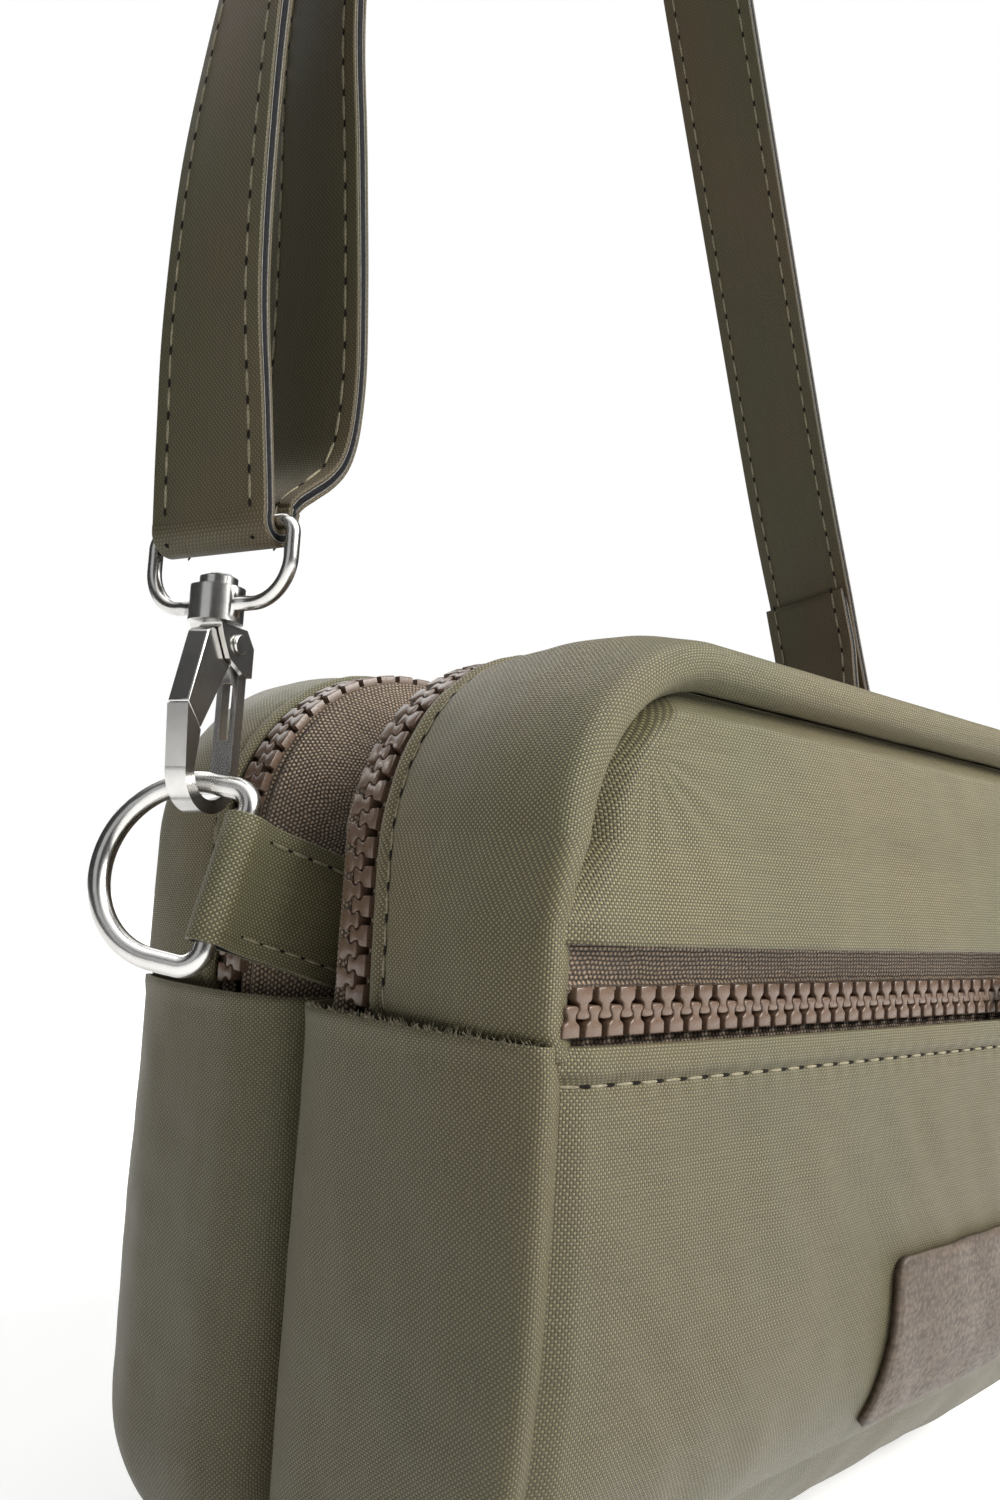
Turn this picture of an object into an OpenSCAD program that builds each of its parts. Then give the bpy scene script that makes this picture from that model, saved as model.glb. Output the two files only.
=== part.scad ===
/* [Bag body] */
// Width of the bag between its two end faces, mm
bag_width = 160; // [130:1:220]
// Depth of the bag, front face to rear face, mm
bag_depth = 92; // [74:1:120]
// Height of the sewn top edge above the ground, mm
bag_height = 140; // [122:1:170]
// Corner radius of the top corners, mm
top_radius = 30; // [20:1:36]
// Corner radius of the bottom corners, mm
base_radius = 18; // [12:1:24]
// Height of the cross seam where the zip gusset meets the lower gusset, mm
seam_height = 88; // [76:1:100]
// Thickness of the coated fabric, mm
cloth = 1.5; // [0.8:0.1:2.5]
// How far the front panels bulge, mm
front_bulge = 4.5; // [0:0.5:8]
// How far the foot of the front face leans back, mm
foot_recess = 30; // [0:0.5:34]
// Depth position of the valley between the two compartments, mm
valley_y = 5.5; // [0:0.5:10]

/* [Zips] */
// Spacing of the moulded teeth, mm
tooth_pitch = 4; // [3:0.25:6]
// Thickness of the moulded teeth, mm
tooth_thick = 2.6; // [1.6:0.1:3.2]
// Half width of the closed chain, mm
chain_half = 2.95; // [2.5:0.05:4]
// Depth position of the front main zip, mm
front_zip_y = -9.5; // [-14:0.5:-6]
// Depth position of the rear main zip, mm
rear_zip_y = 20.5; // [17:0.5:26]
// How far the main zips sit below the sewn edge, mm
zip_sink = 1.0; // [1:0.1:4]
// Height of the front pocket zip above the cross seam, mm
pocket_zip_rise = 3.5; // [3:0.5:8]
// Thickness of the woven zip tape, mm
tape_thick = 0.8; // [0.5:0.1:1.2]

/* [Tabs and rings] */
// Width of the folded tab that holds the ring, mm
tab_width = 18.6; // [14:0.2:22]
// Height of the ring bars above the cross seam, mm
bar_rise = 16.3; // [14:0.1:20]
// Upward tilt of the tabs, degrees
tab_tilt = 15.5; // [0:0.5:30]
// Wire diameter of the ring, mm
ring_wire = 3.2; // [2.4:0.1:4.4]
// Radius of the round side of the ring, wire centre, mm
ring_radius = 13; // [11:0.5:16]
// Straight leg of the ring before the round side starts, mm
ring_leg = 7; // [4:0.5:10]
// Swing of the left ring toward the rear, degrees
ring_swing_left = 60; // [30:1:80]
// Swing of the right ring toward the rear, degrees
ring_swing_right = 70; // [30:1:80]

/* [Snap hooks] */
// Distance between the two legs of the hook, centre to centre, mm
hook_span = 10.4; // [8.4:0.1:11]
// Turn of the hooks about their post toward the front, degrees
hook_turn = 22; // [0:1:40]
// Thickness of the hook metal, mm
hook_metal = 2.0; // [1.4:0.1:2.6]
// Width of the hook metal, mm
hook_width = 3.6; // [3:0.1:5]
// Radial clearance of the swivel post in its collar, mm
swivel_clear = 0.08; // [0.02:0.01:0.1]
// Radial clearance of the gate on its rivet, mm
gate_clear = 0.06; // [0.02:0.01:0.1]
// Wire diameter of the swivel eye, mm
eye_wire = 2.2; // [1.6:0.1:3]
// Outer width of the swivel eye, mm
eye_width = 29; // [26:0.5:34]
// Lean of the right hook toward the middle of the bag, degrees
hook_lean = 8; // [0:1:15]
// Lean of the right hook toward the rear, degrees
hook_lean_back = 9; // [0:1:15]

/* [Strap] */
// Width of the strap, mm
strap_width = 22; // [18:0.5:23]
// Thickness of the layered strap, mm
strap_thick = 2.4; // [1.6:0.1:3]
// Height of the point the strap is held up at, above the cross seam, mm
strap_rise = 322; // [300:2:380]

/* [Output] */
// Which part is drawn

/* [Hidden] */
olive = [0.43, 0.41, 0.33];
dark_olive = [0.36, 0.34, 0.27];
brown = [0.36, 0.27, 0.21];
nickel = [0.75, 0.75, 0.74];
leather = [0.40, 0.28, 0.20];
hw = bag_width / 2;
front_y = -bag_depth / 2;
rear_y = bag_depth / 2;
base_lift = 3;
welt = 6;
chain_gap = 0.3;
arc_cx = hw - top_radius;
arc_cz = bag_height - top_radius;
arc_step = 9;
hem_gap = 1.0;
pocket_zip_z = seam_height + pocket_zip_rise;
// ---- outline of the bag seen from the front, followed by the gussets
function arc_st(cx, cz, r, a) = [cx + r * cos(a), cz + r * sin(a), cos(a), sin(a)];
upper_path = concat(
    [for (i = [0:4]) [-hw, seam_height + (arc_cz - seam_height) * i / 5, -1, 0]],
    [for (a = [180:-arc_step:90]) arc_st(-arc_cx, arc_cz, top_radius, a)],
    [for (a = [90:-arc_step:0]) arc_st(arc_cx, arc_cz, top_radius, a)],
    [for (i = [4:-1:0]) [hw, seam_height + (arc_cz - seam_height) * i / 5, 1, 0]]);
low_cz = base_lift + base_radius;
low_cx = hw - base_radius;
low_top = seam_height - 0.4;
lower_path = concat(
    [for (i = [0:7]) [-hw, low_top - (low_top - low_cz) * i / 8, -1, 0]],
    [for (a = [180:10:270]) arc_st(-low_cx, low_cz, base_radius, a)],
    [for (x = [-30:30:30]) [x, base_lift, 0, -1]],
    [for (a = [270:10:360]) arc_st(low_cx, low_cz, base_radius, a)],
    [for (i = [7:-1:0]) [hw, low_top - (low_top - low_cz) * i / 8, 1, 0]]);
function clamp01(v) = min(1, max(0, v));
function unit2(v) = v / norm(v);
function unit3(v) = v / norm(v);
// lean of the front face and tuck of the rear face toward the foot
function foot_front(z) = foot_recess * pow(clamp01(1 - z / seam_height), 5);
function foot_rear(z) = 5 * pow(clamp01(1 - z / 30), 2);
function slide_y(y, z) = y + foot_front(z) * clamp01(y / front_y)
    - foot_rear(z) * clamp01((y - 26) / (rear_y - 26));
// band of constant thickness along an open line of [y, n] points
function dir_at(o, i) = unit2(o[min(i + 1, len(o) - 1)] - o[max(i - 1, 0)]);
function inner_of(o, t) = [for (i = [len(o) - 1:-1:0]) o[i] + t * [dir_at(o, i)[1], -dir_at(o, i)[0]]];
function band(o, t) = concat(o, inner_of(o, t));
function place(st, s) = [for (p = s) [st[0] + st[2] * p[1], slide_y(p[0], st[1]), st[1] + st[3] * p[1]]];
module skin(rings) {
    m = len(rings[0]);
    k = len(rings);
    pts = [for (r = rings) for (p = r) p];
    sides = [for (j = [0:k - 2]) for (i = [0:m - 1]) for (h = [0, 1])
        let (a = j * m + i, b = j * m + (i + 1) % m, c = b + m, d = a + m) h == 0 ? [a, d, c] : [a, c, b]];
    half = m / 2;
    cap_a = [for (i = [0:half - 2]) for (h = [0, 1])
        let (a = i, b = i + 1, c = m - 2 - i, d = m - 1 - i) h == 0 ? [a, b, c] : [a, c, d]];
    cap_b = [for (f = cap_a) [f[2] + (k - 1) * m, f[1] + (k - 1) * m, f[0] + (k - 1) * m]];
    polyhedron(points = pts, faces = concat(sides, cap_a, cap_b), convexity = 8);
}
// ---- gusset sections, [depth, height above the outline]
function lerp(a, b, t) = a + (b - a) * t;
welt_flat = [[front_y, -1.6], [front_y, -1.2], [front_y + 0.1, -0.7], [front_y + 0.6, -0.1]];
welt_roll = [[front_y + 1.0, -welt], [front_y - 0.9, -4.3], [front_y - 1.1, -2.3], [front_y - 0.2, -0.5]];
welt_from = seam_height + 14;
function welt_t(z) = clamp01((z - welt_from) / 10);
function front_strip(z) = concat([for (i = [0:3]) lerp(welt_flat[i], welt_roll[i], welt_t(z))],
    [[front_y + 2.4, 0.4], [front_y + 10, 1.5], [front_y + 20, 1.6], [front_zip_y - 8, 0.9],
     [front_zip_y - 6, 1.0], [front_zip_y - chain_half - 1.9, 1.1],
     [front_zip_y - chain_half - hem_gap, 0.1]]);
function rear_strip(z) = [[rear_zip_y + chain_half + hem_gap, 0.1], [rear_zip_y + chain_half + 1.9, 1.1],
    [rear_zip_y + 6, 1.0], [rear_zip_y + 9, 0.9], [rear_y - 11, 1.4], [rear_y - 4, 1.0],
    [rear_y - 0.5, -0.2], [rear_y, -1.6]];
function front_base(z) = let (f = clamp01((12 - z) / 9)) [[front_y, -1.6], [front_y + 0.4, -0.3],
    [front_y + 5, 1.5], [front_y + 15, 2.6], [-24, 3.0], [-10, 3.0], lerp([-3, 1.6], [0.6, 3.0], f),
    lerp([2.4, -1.6], [3.2, 0.4], f), [4.5, -6], [5.3, -13]];
function rear_base(z) = [[5.7, -13], [6.5, -6], [8.6, -1.6], [13, 1.4], [19, 3.0], [33, 3.0],
    [rear_y - 5, 1.5], [rear_y - 0.4, -0.3], [rear_y, -1.6]];
tape_n = -zip_sink - tooth_thick / 2 + 0.5;
tape_clear = 0.3;
function tape_front_out() = [[front_zip_y - chain_half - 5.4, tape_n], [front_zip_y - chain_half - 2.6, tape_n],
    [front_zip_y - chain_half - tape_clear, tape_n]];
function tape_front_in() = [[front_zip_y + chain_half + tape_clear, tape_n], [front_zip_y + 6, tape_n - 1.0],
    [front_zip_y + 10, tape_n - 3.6], [front_zip_y + 12.3, -9], [valley_y - 1.8, -13]];
function tape_rear_in() = [[valley_y + 1.8, -13], [rear_zip_y - 12.3, -9], [rear_zip_y - 10, tape_n - 3.6],
    [rear_zip_y - 6, tape_n - 1.0], [rear_zip_y - chain_half - tape_clear, tape_n]];
function tape_rear_out() = [[rear_zip_y + chain_half + tape_clear, tape_n], [rear_zip_y + chain_half + 2.6, tape_n],
    [rear_zip_y + chain_half + 5.4, tape_n]];
module upper_band(kind) {
    skin([for (st = upper_path) place(st, band(
        kind == 0 ? front_strip(st[1]) : rear_strip(st[1]), cloth))]);
}
module lower_band(kind) {
    skin([for (st = lower_path) place(st, band(kind == 0 ? front_base(st[1]) : rear_base(st[1]), cloth))]);
}
module tape_band(line) {
    skin([for (st = upper_path) place(st, band(line, tape_thick))]);
}
// ---- quilted panels
function half_at(z, inset) = z > arc_cz
    ? arc_cx + sqrt(max(0, pow(top_radius - inset, 2) - pow(z - arc_cz, 2)))
    : (z < low_cz ? low_cx + sqrt(max(0, pow(base_radius - inset, 2) - pow(low_cz - z, 2))) : hw - inset);
function pillow(u, v) = pow(max(0, 1 - pow(abs(u), 3)), 0.7) * pow(max(0, 1 - pow(abs(v), 2.4)), 0.7);
module sheet_grid(front, back) {
    r = len(front);
    c = len(front[0]);
    pts = concat([for (q = front) for (p = q) p], [for (q = back) for (p = q) p]);
    o = r * c;
    f1 = [for (j = [0:r - 2]) for (i = [0:c - 2]) for (h = [0, 1])
        let (a = j * c + i, b = a + 1, d = a + c, e = d + 1) h == 0 ? [a, d, e] : [a, e, b]];
    f2 = [for (f = f1) [f[2] + o, f[1] + o, f[0] + o]];
    lim = concat([for (i = [0:c - 1]) i], [for (j = [1:r - 1]) j * c + c - 1],
        [for (i = [c - 2:-1:0]) (r - 1) * c + i], [for (j = [r - 2:-1:1]) j * c]);
    n = len(lim);
    rim = [for (k = [0:n - 1]) for (h = [0, 1])
        let (a = lim[k], b = lim[(k + 1) % n]) h == 0 ? [a, b, b + o] : [a, b + o, a + o]];
    polyhedron(points = pts, faces = concat(f1, f2, rim), convexity = 6);
}
cols = 22;
function spread(i) = sin(90 * (2 * i / cols - 1));
low_rows = concat([for (a = [90:-15:0]) low_cz - (base_radius - 2.3) * sin(a)],
    [for (i = [1:8]) low_cz + (seam_height - 0.8 - low_cz) * i / 8]);
function pocket_y(u, z) = front_y + foot_front(z) - front_bulge
    * pillow(u, clamp01((seam_height - 36 - z) / 30)) * (1 - 0.55 * clamp01((z - seam_height + 26) / 26));
module pocket_grid(rows, inset, off, thick) {
    sheet_grid([for (z = rows) [for (i = [0:cols]) let (u = spread(i))
        [half_at(z, inset) * u, pocket_y(u, z) - off, z]]],
        [for (z = rows) [for (i = [0:cols]) let (u = spread(i))
        [half_at(z, inset) * u, pocket_y(u, z) - off + thick, z]]]);
}
function edge_in(z) = lerp(2.1, welt + 0.5, welt_t(z));
top_rows = concat([for (i = [0:3]) welt_from + 0.6 + (arc_cz + 2 - welt_from - 0.6) * i / 3],
    [for (a = [18:12:90]) arc_cz + (top_radius - welt - 0.5) * sin(a)]);
function front_up_y(u, z) = front_y + 0.6 * welt_t(z) - 1.2 * (1 - welt_t(z)) - front_bulge
    * pow(max(0, 1 - pow(abs(u), 3)), 0.7) * pow(max(0, 1 - pow(clamp01((z - arc_cz) / 24), 2)), 0.8);
rear_edge = 2.3;
rear_rows = concat([for (a = [90:-15:0]) low_cz - (base_radius - rear_edge) * sin(a)],
    [for (i = [1:4]) low_cz + (arc_cz - low_cz) * i / 5],
    [for (a = [0:15:90]) arc_cz + (top_radius - rear_edge) * sin(a)]);
function rear_out_y(u, z) = rear_y - foot_rear(z) + 3.0 * pillow(u, (z - bag_height / 2 - 3) / (bag_height / 2 + 1));
module pocket_panel() {
    color(olive) pocket_grid(low_rows, 2.1, 0, cloth);
}
module front_panel() {
    color(olive) sheet_grid(
        [for (z = top_rows) [for (i = [0:cols]) let (u = spread(i))
            [half_at(z, edge_in(z)) * u, front_up_y(u, z), z]]],
        [for (z = top_rows) [for (i = [0:cols]) let (u = spread(i))
            [half_at(z, edge_in(z)) * u, front_up_y(u, z) + cloth, z]]]);
}
module rear_panel() {
    color(olive) sheet_grid(
        [for (z = rear_rows) [for (i = [0:cols]) let (u = spread(i))
            [half_at(z, rear_edge) * u, rear_out_y(u, z) - cloth, z]]],
        [for (z = rear_rows) [for (i = [0:cols]) let (u = spread(i))
            [half_at(z, rear_edge) * u, rear_out_y(u, z), z]]]);
}
function rim_pts(inset, foot) = concat(
    [for (a = [180:15:270]) [-low_cx + (base_radius - inset) * cos(a), low_cz + foot + (base_radius - inset) * sin(a)]],
    [for (a = [270:15:360]) [low_cx + (base_radius - inset) * cos(a), low_cz + foot + (base_radius - inset) * sin(a)]],
    [for (a = [0:15:90]) [arc_cx + (top_radius - inset) * cos(a), arc_cz + (top_radius - inset) * sin(a)]],
    [for (a = [90:15:180]) [-arc_cx + (top_radius - inset) * cos(a), arc_cz + (top_radius - inset) * sin(a)]]);
module flat_wall(y0, thick, inset, foot) {
    translate([0, y0 + thick, 0]) rotate([90, 0, 0]) linear_extrude(height = thick) polygon(rim_pts(inset, foot));
}
module pocket_back_wall() {
    color(dark_olive) sheet_grid(
        [for (z = rear_rows) [for (u = [-1:0.5:1])
            [half_at(z, edge_in(z) + 0.2) * u, front_y + foot_front(z) + 2.8, z]]],
        [for (z = rear_rows) [for (u = [-1:0.5:1])
            [half_at(z, edge_in(z) + 0.2) * u, front_y + foot_front(z) + 3.8, z]]]);
}
module front_inner_wall() { color(dark_olive) flat_wall(valley_y - 1.6, 1, 13.3, 0); }
module rear_inner_wall() { color(dark_olive) flat_wall(valley_y + 0.6, 1, 13.3, 0); }
module front_top_gusset() { color(olive) upper_band(0); }
module rear_top_gusset() { color(olive) upper_band(1); }
module front_base_gusset() { color(olive) lower_band(0); }
module rear_base_gusset() { color(olive) lower_band(1); }
module front_tape_outer() { color(brown) tape_band(tape_front_out()); }
module front_tape_inner() { color(brown) tape_band(tape_front_in()); }
module rear_tape_inner() { color(brown) tape_band(tape_rear_in()); }
module rear_tape_outer() { color(brown) tape_band(tape_rear_out()); }
// ---- pocket zip tapes, straight across the front
pocket_len = bag_width - 4.6;
pocket_y0 = front_y + 0.9;
module pocket_tape_upper() {
    color(brown) translate([-pocket_len / 2, pocket_y0 + 0.4, pocket_zip_z + chain_half + tape_clear])
        cube([pocket_len, tape_thick, 9.0]);
}
module pocket_tape_lower() {
    color(brown) translate([-pocket_len / 2, pocket_y0 + 0.75, pocket_zip_z - chain_half - tape_clear - 6.4])
        cube([pocket_len, tape_thick, 6.4]);
}
// ---- moulded zip teeth, drawn as [along, across] with the cord at +chain_half
tooth_line = [[-1.3, 2.95], [-1.3, 1.5], [-0.95, 1.1], [-0.46, 0.9], [-0.46, 0.55], [-0.88, 0.2], [-0.88, -0.4],
    [-0.5, -0.75], [0.5, -0.75], [0.88, -0.4], [0.88, 0.2], [0.46, 0.55], [0.46, 0.9], [0.95, 1.1], [1.3, 1.5], [1.3, 2.95]];
ks = tooth_pitch / 4;
kw = chain_half / 2.95;
module comb(n, side) {
    pts = concat([for (i = [0:n - 1]) for (p = tooth_line)
            [((p[0] == 1.3 || p[0] == -1.3) && p[1] > 2 ? p[0] : p[0]) * ks + (i + 0.5) * tooth_pitch,
            (p[1] > 2 ? 2.35 : p[1]) * kw * side]],
        [[n * tooth_pitch, 2.35 * kw * side], [n * tooth_pitch, chain_half * side], [0, chain_half * side],
        [0, 2.35 * kw * side]]);
    translate([0, 0, -tooth_thick / 2]) linear_extrude(height = tooth_thick) polygon(pts);
}
module one_tooth(side) {
    translate([0, 0, -tooth_thick / 2]) linear_extrude(height = tooth_thick)
        polygon([for (p = tooth_line) [p[0] * ks, min(p[1], 2.5) * kw * side]]);
}
arc_r = top_radius - zip_sink;
arc_teeth = floor(arc_r * PI / 2 / tooth_pitch);
leg_teeth = floor((arc_cz - seam_height - 0.6) / tooth_pitch - 0.5);
top_teeth = floor(2 * arc_cx / tooth_pitch);
module arc_bead(cx, a0, side, y0) {
    lo = 2.35 * kw;
    translate([cx, y0, arc_cz]) rotate([90, 0, 0]) rotate([0, 0, a0]) rotate_extrude(angle = 90, $fn = 72)
        translate([arc_r - tooth_thick / 2, side > 0 ? -chain_half : lo]) square([tooth_thick, chain_half - lo]);
}
// side +1 has its cord toward the rear, shift moves the row by half a pitch
module zip_row(y0, side, shift) {
    step = 90 / arc_teeth;
    for (s = [-1, 1]) {
        translate([s * hw, y0, 0]) rotate([0, s * 90, 0])
            translate([s < 0 ? arc_cz - leg_teeth * tooth_pitch - shift * tooth_pitch / 2
                : -arc_cz + shift * tooth_pitch / 2, 0, -zip_sink])
            comb(leg_teeth, side);
        translate([s * (hw - zip_sink), y0 + side * (chain_half - 0.3 * kw), arc_cz - 1.5])
            cube([tooth_thick, 0.6 * kw, 3.4], center = true);
        arc_bead(s * arc_cx, s < 0 ? 90 : 0, side, y0);
        for (i = [0:arc_teeth - 1])
            translate([s * arc_cx, 0, arc_cz])
                rotate([0, s < 0 ? -90 + (i + 0.5 + shift / 2) * step : (i + 0.5 + shift / 2) * step, 0])
                translate([0, y0, arc_r]) one_tooth(side);
    }
    n = shift > 0 ? top_teeth - 1 : top_teeth;
    translate([-n * tooth_pitch / 2, y0, bag_height - zip_sink]) comb(n, side);
    translate([0, y0 + side * (chain_half - 0.3 * kw), bag_height - zip_sink])
        cube([2 * arc_cx + 1, 0.6 * kw, tooth_thick], center = true);
    if (shift > 0) translate([-arc_cx, y0, bag_height - zip_sink]) one_tooth(side);
}
module front_teeth_outer() { color(brown) zip_row(front_zip_y, -1, 0); }
module front_teeth_inner() { color(brown) zip_row(front_zip_y, 1, 1); }
module rear_teeth_inner() { color(brown) zip_row(rear_zip_y, -1, 1); }
module rear_teeth_outer() { color(brown) zip_row(rear_zip_y, 1, 0); }
pocket_teeth = floor(pocket_len / tooth_pitch) - 1;
module pocket_row(side, shift) {
    n = pocket_teeth - shift;
    translate([-n * tooth_pitch / 2, pocket_y0, pocket_zip_z]) rotate([90, 0, 0]) comb(n, side);
}
module pocket_teeth_upper() { color(brown) pocket_row(1, 0); }
module pocket_teeth_lower() { color(brown) pocket_row(-1, 1); }
// ---- plain leather patch on the pocket
label_left = -4.5;
label_width = 48;
label_foot = 26.7;
label_height = 27;
label_rows = [for (i = [0:8]) label_foot + label_height * i / 8];
module label_patch() {
    function ly(x, z) = pocket_y(x / half_at(z, 2.1), z);
    color(leather) sheet_grid(
        [for (z = label_rows) [for (i = [0:8]) let (x = label_left + label_width * i / 8) [x, ly(x, z) - 1.7, z]]],
        [for (z = label_rows) [for (i = [0:8]) let (x = label_left + label_width * i / 8) [x, ly(x, z) - 0.35, z]]]);
}
// ---- tab and ring, drawn for the left end and mirrored for the right
bar_x = -hw - 11.3;
bar_z = seam_height + bar_rise;
tab_layer = 1.4;
bar_clear = 0.08;
module tab_local() {
    r = ring_wire / 2 + bar_clear;
    rotate([0, tab_tilt, 0]) translate([0, 0, -tab_width / 2]) linear_extrude(height = tab_width) difference() {
        union() {
            circle(r = r + tab_layer, $fn = 40);
            translate([-3.9, -tab_layer]) square([26.8, tab_layer * 2]);
            translate([-3.9, 0]) circle(r = tab_layer, $fn = 24);
        }
        circle(r = r, $fn = 40);
    }
}
ring_corner = 3;
module arc_wire(r, a0, a1, wire) {
    rotate([90, 0, 0]) rotate([0, 0, a0]) rotate_extrude(angle = a1 - a0, $fn = 72)
        translate([r, 0]) circle(r = wire / 2, $fn = 24);
}
// ring in the XZ plane, bar on the Z axis, round side toward -X
module ring_local() {
    w = ring_wire;
    translate([0, 0, -ring_radius + ring_corner]) cylinder(h = 2 * (ring_radius - ring_corner), d = w, $fn = 24);
    for (s = [-1, 1]) {
        translate([-ring_corner, 0, s * (ring_radius - ring_corner)]) arc_wire(ring_corner, s > 0 ? 0 : -90,
            s > 0 ? 90 : 0, w);
        translate([-ring_leg, 0, s * ring_radius]) rotate([0, 90, 0])
            cylinder(h = ring_leg - ring_corner, d = w, $fn = 24);
    }
    translate([-ring_leg, 0, 0]) arc_wire(ring_radius, 90, 270, w);
}
module at_bar(right) {
    mirror([right, 0, 0]) translate([bar_x, valley_y, bar_z]) children();
}
module ring_at(right) {
    at_bar(right) rotate([0, tab_tilt, 0]) rotate([0, 0, right > 0 ? -ring_swing_right : -ring_swing_left]) ring_local();
}
module tab_left() { color(olive) at_bar(0) tab_local(); }
module tab_right() { color(olive) at_bar(1) tab_local(); }
module ring_left() { color(nickel) ring_at(0); }
module ring_right() { color(nickel) ring_at(1); }
// ---- point where the hook hangs on the ring
function touch(sw) = let (t = atan(1 / (tan(tab_tilt) * cos(sw))), s = ring_leg + ring_radius * cos(t),
    h = ring_radius * sin(t)) [bar_x - s * cos(sw) * cos(tab_tilt) + h * sin(tab_tilt), valley_y + s * sin(sw),
    bar_z + s * cos(sw) * sin(tab_tilt) + h * cos(tab_tilt)];
touch_l = touch(ring_swing_left);
touch_r0 = touch(ring_swing_right);
touch_r = [-touch_r0[0], touch_r0[1], touch_r0[2]];
module hang(right) {
    if (right > 0)
        translate(touch_r) rotate([-hook_lean_back, -hook_lean, 0]) mirror([1, 0, 0]) children();
    else
        translate(touch_l) children();
}
module hang_turned(right) {
    hang(right) rotate([0, 0, hook_turn]) children();
}
// ---- snap hook in its own frame: wire centre at the origin, nose toward -X, post up
half_span = hook_span / 2;
ring_play = 0.9;
bend_z = half_span - hook_metal / 2 - ring_wire / 2 - ring_play;
joint_z = 10.6;
pivot = [2.4, 20.6];
nose_deep = 3.4;
nose_out = 0.7;
rivet_d = 1.8;
slot_w = hook_width + 0.4;
ear_w = slot_w + 1.6;
collar_lo = 23.4;
collar_hi = 28.6;
post_d = 3.4;
gate_eye = 1.6;
slot_top = pivot[1] + gate_eye + 0.25;
module side_plate(w) {
    rotate([90, 0, 0]) translate([0, 0, -w / 2]) linear_extrude(height = w) children();
}
nose_x = -half_span - hook_metal / 2 - nose_out;
module hook_body() {
    m = hook_metal;
    translate([0, 0, bend_z]) rotate([90, 0, 0]) rotate([0, 0, 180]) rotate_extrude(angle = 180, $fn = 72)
        translate([half_span, 0]) square([m, hook_width], center = true);
    side_plate(hook_width) polygon([[-half_span - m / 2, bend_z - 0.02], [-half_span + m / 2, bend_z - 0.02],
        [nose_x + nose_deep, joint_z - nose_deep], [nose_x, joint_z]]);
    difference() {
        side_plate(hook_width) translate([half_span - m / 2, bend_z - 0.02]) square([m, 18 - bend_z]);
        side_plate(hook_width - 1.8) translate([half_span - m / 2 - 1, 6.6]) square([m + 2, 8.6]);
    }
    difference() {
        side_plate(ear_w) polygon([[half_span - m / 2 + 0.2, 16.2], [half_span + m / 2, 16.2],
            [half_span + m / 2, 20.6], [4.2, collar_lo - 0.35], [-2.2, collar_lo - 0.35], [-1.5, 21.4], [0.4, 18.2]]);
        side_plate(slot_w) polygon([[-9, 10], [half_span - m / 2, 10], [half_span - m / 2, slot_top], [-9, slot_top]]);
        translate([pivot[0], 0, pivot[1]]) rotate([90, 0, 0]) cylinder(h = 20, d = rivet_d + 0.02, center = true, $fn = 32);
    }
    translate([0, 0, collar_lo - 0.7]) cylinder(h = collar_hi - collar_lo + 1.2, d = post_d, $fn = 40);
    translate([0, 0, collar_hi + 0.35]) cylinder(h = 1.1, d = post_d + 2.2, $fn = 40);
    translate([0, 0, collar_hi + 1.44]) cylinder(h = 0.6, d1 = post_d + 2.2, d2 = post_d, $fn = 40);
}
// the end faces of nose and gate are cut at 45 degrees, so that the gate can swing inward past the nose
module gate_body() {
    d = rivet_d + 2 * gate_clear;
    gap = 0.3;
    difference() {
        side_plate(hook_width) union() {
            polygon([[nose_x, joint_z + gap], [nose_x + nose_deep, joint_z - nose_deep + gap],
                [pivot[0] + 0.6, pivot[1] - gate_eye + 0.12], [pivot[0], pivot[1] + gate_eye], [-3.0, pivot[1] + gate_eye],
                [-3.8, pivot[1] + 1.0]]);
            translate(pivot) circle(r = gate_eye, $fn = 40);
        }
        translate([pivot[0], 0, pivot[1]]) rotate([90, 0, 0]) cylinder(h = 20, d = d, center = true, $fn = 32);
        side_plate(1.9) polygon([[nose_x + 1.5, joint_z + 1.4], [-2.5, pivot[1] + 0.4], [-2.5, pivot[1] + 4],
            [pivot[0] + 4, pivot[1] + 4], [pivot[0] + 4, joint_z + 1.4]]);
    }
}
module gate_rivet_body() {
    translate([pivot[0], 0, pivot[1]]) rotate([90, 0, 0]) {
        cylinder(h = ear_w + 0.2, d = rivet_d, center = true, $fn = 32);
        for (s = [-1, 1]) translate([0, 0, s * (ear_w / 2 + 0.3)]) cylinder(h = 0.5, d = rivet_d + 1.2, center = true, $fn = 32);
    }
}
// torsion spring round the rivet, one leg resting on the back of the hook
module gate_spring_body() {
    difference() {
        union() {
            translate([pivot[0], 0, pivot[1]]) rotate([90, 0, 0]) cylinder(h = 1.5, d = 2.7, center = true, $fn = 32);
            side_plate(0.6) polygon([[pivot[0] + 0.9, pivot[1] - 0.7], [half_span - hook_metal / 2 - 0.1, pivot[1] - 2.9],
                [half_span - hook_metal / 2 - 0.1, pivot[1] - 2.2], [pivot[0] + 0.9, pivot[1] - 0.1]]);
        }
        translate([pivot[0], 0, pivot[1]]) rotate([90, 0, 0])
            cylinder(h = 9, d = rivet_d + 0.12, center = true, $fn = 32);
    }
}
module hook_left() { color(nickel) hang_turned(0) hook_body(); }
module hook_right() { color(nickel) hang_turned(1) hook_body(); }
module gate_left() { color(nickel) hang_turned(0) gate_body(); }
module gate_right() { color(nickel) hang_turned(1) gate_body(); }
module gate_rivet_left() { color(nickel) hang_turned(0) gate_rivet_body(); }
module gate_rivet_right() { color(nickel) hang_turned(1) gate_rivet_body(); }
module gate_spring_left() { color(nickel) hang_turned(0) gate_spring_body(); }
module gate_spring_right() { color(nickel) hang_turned(1) gate_spring_body(); }
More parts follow.
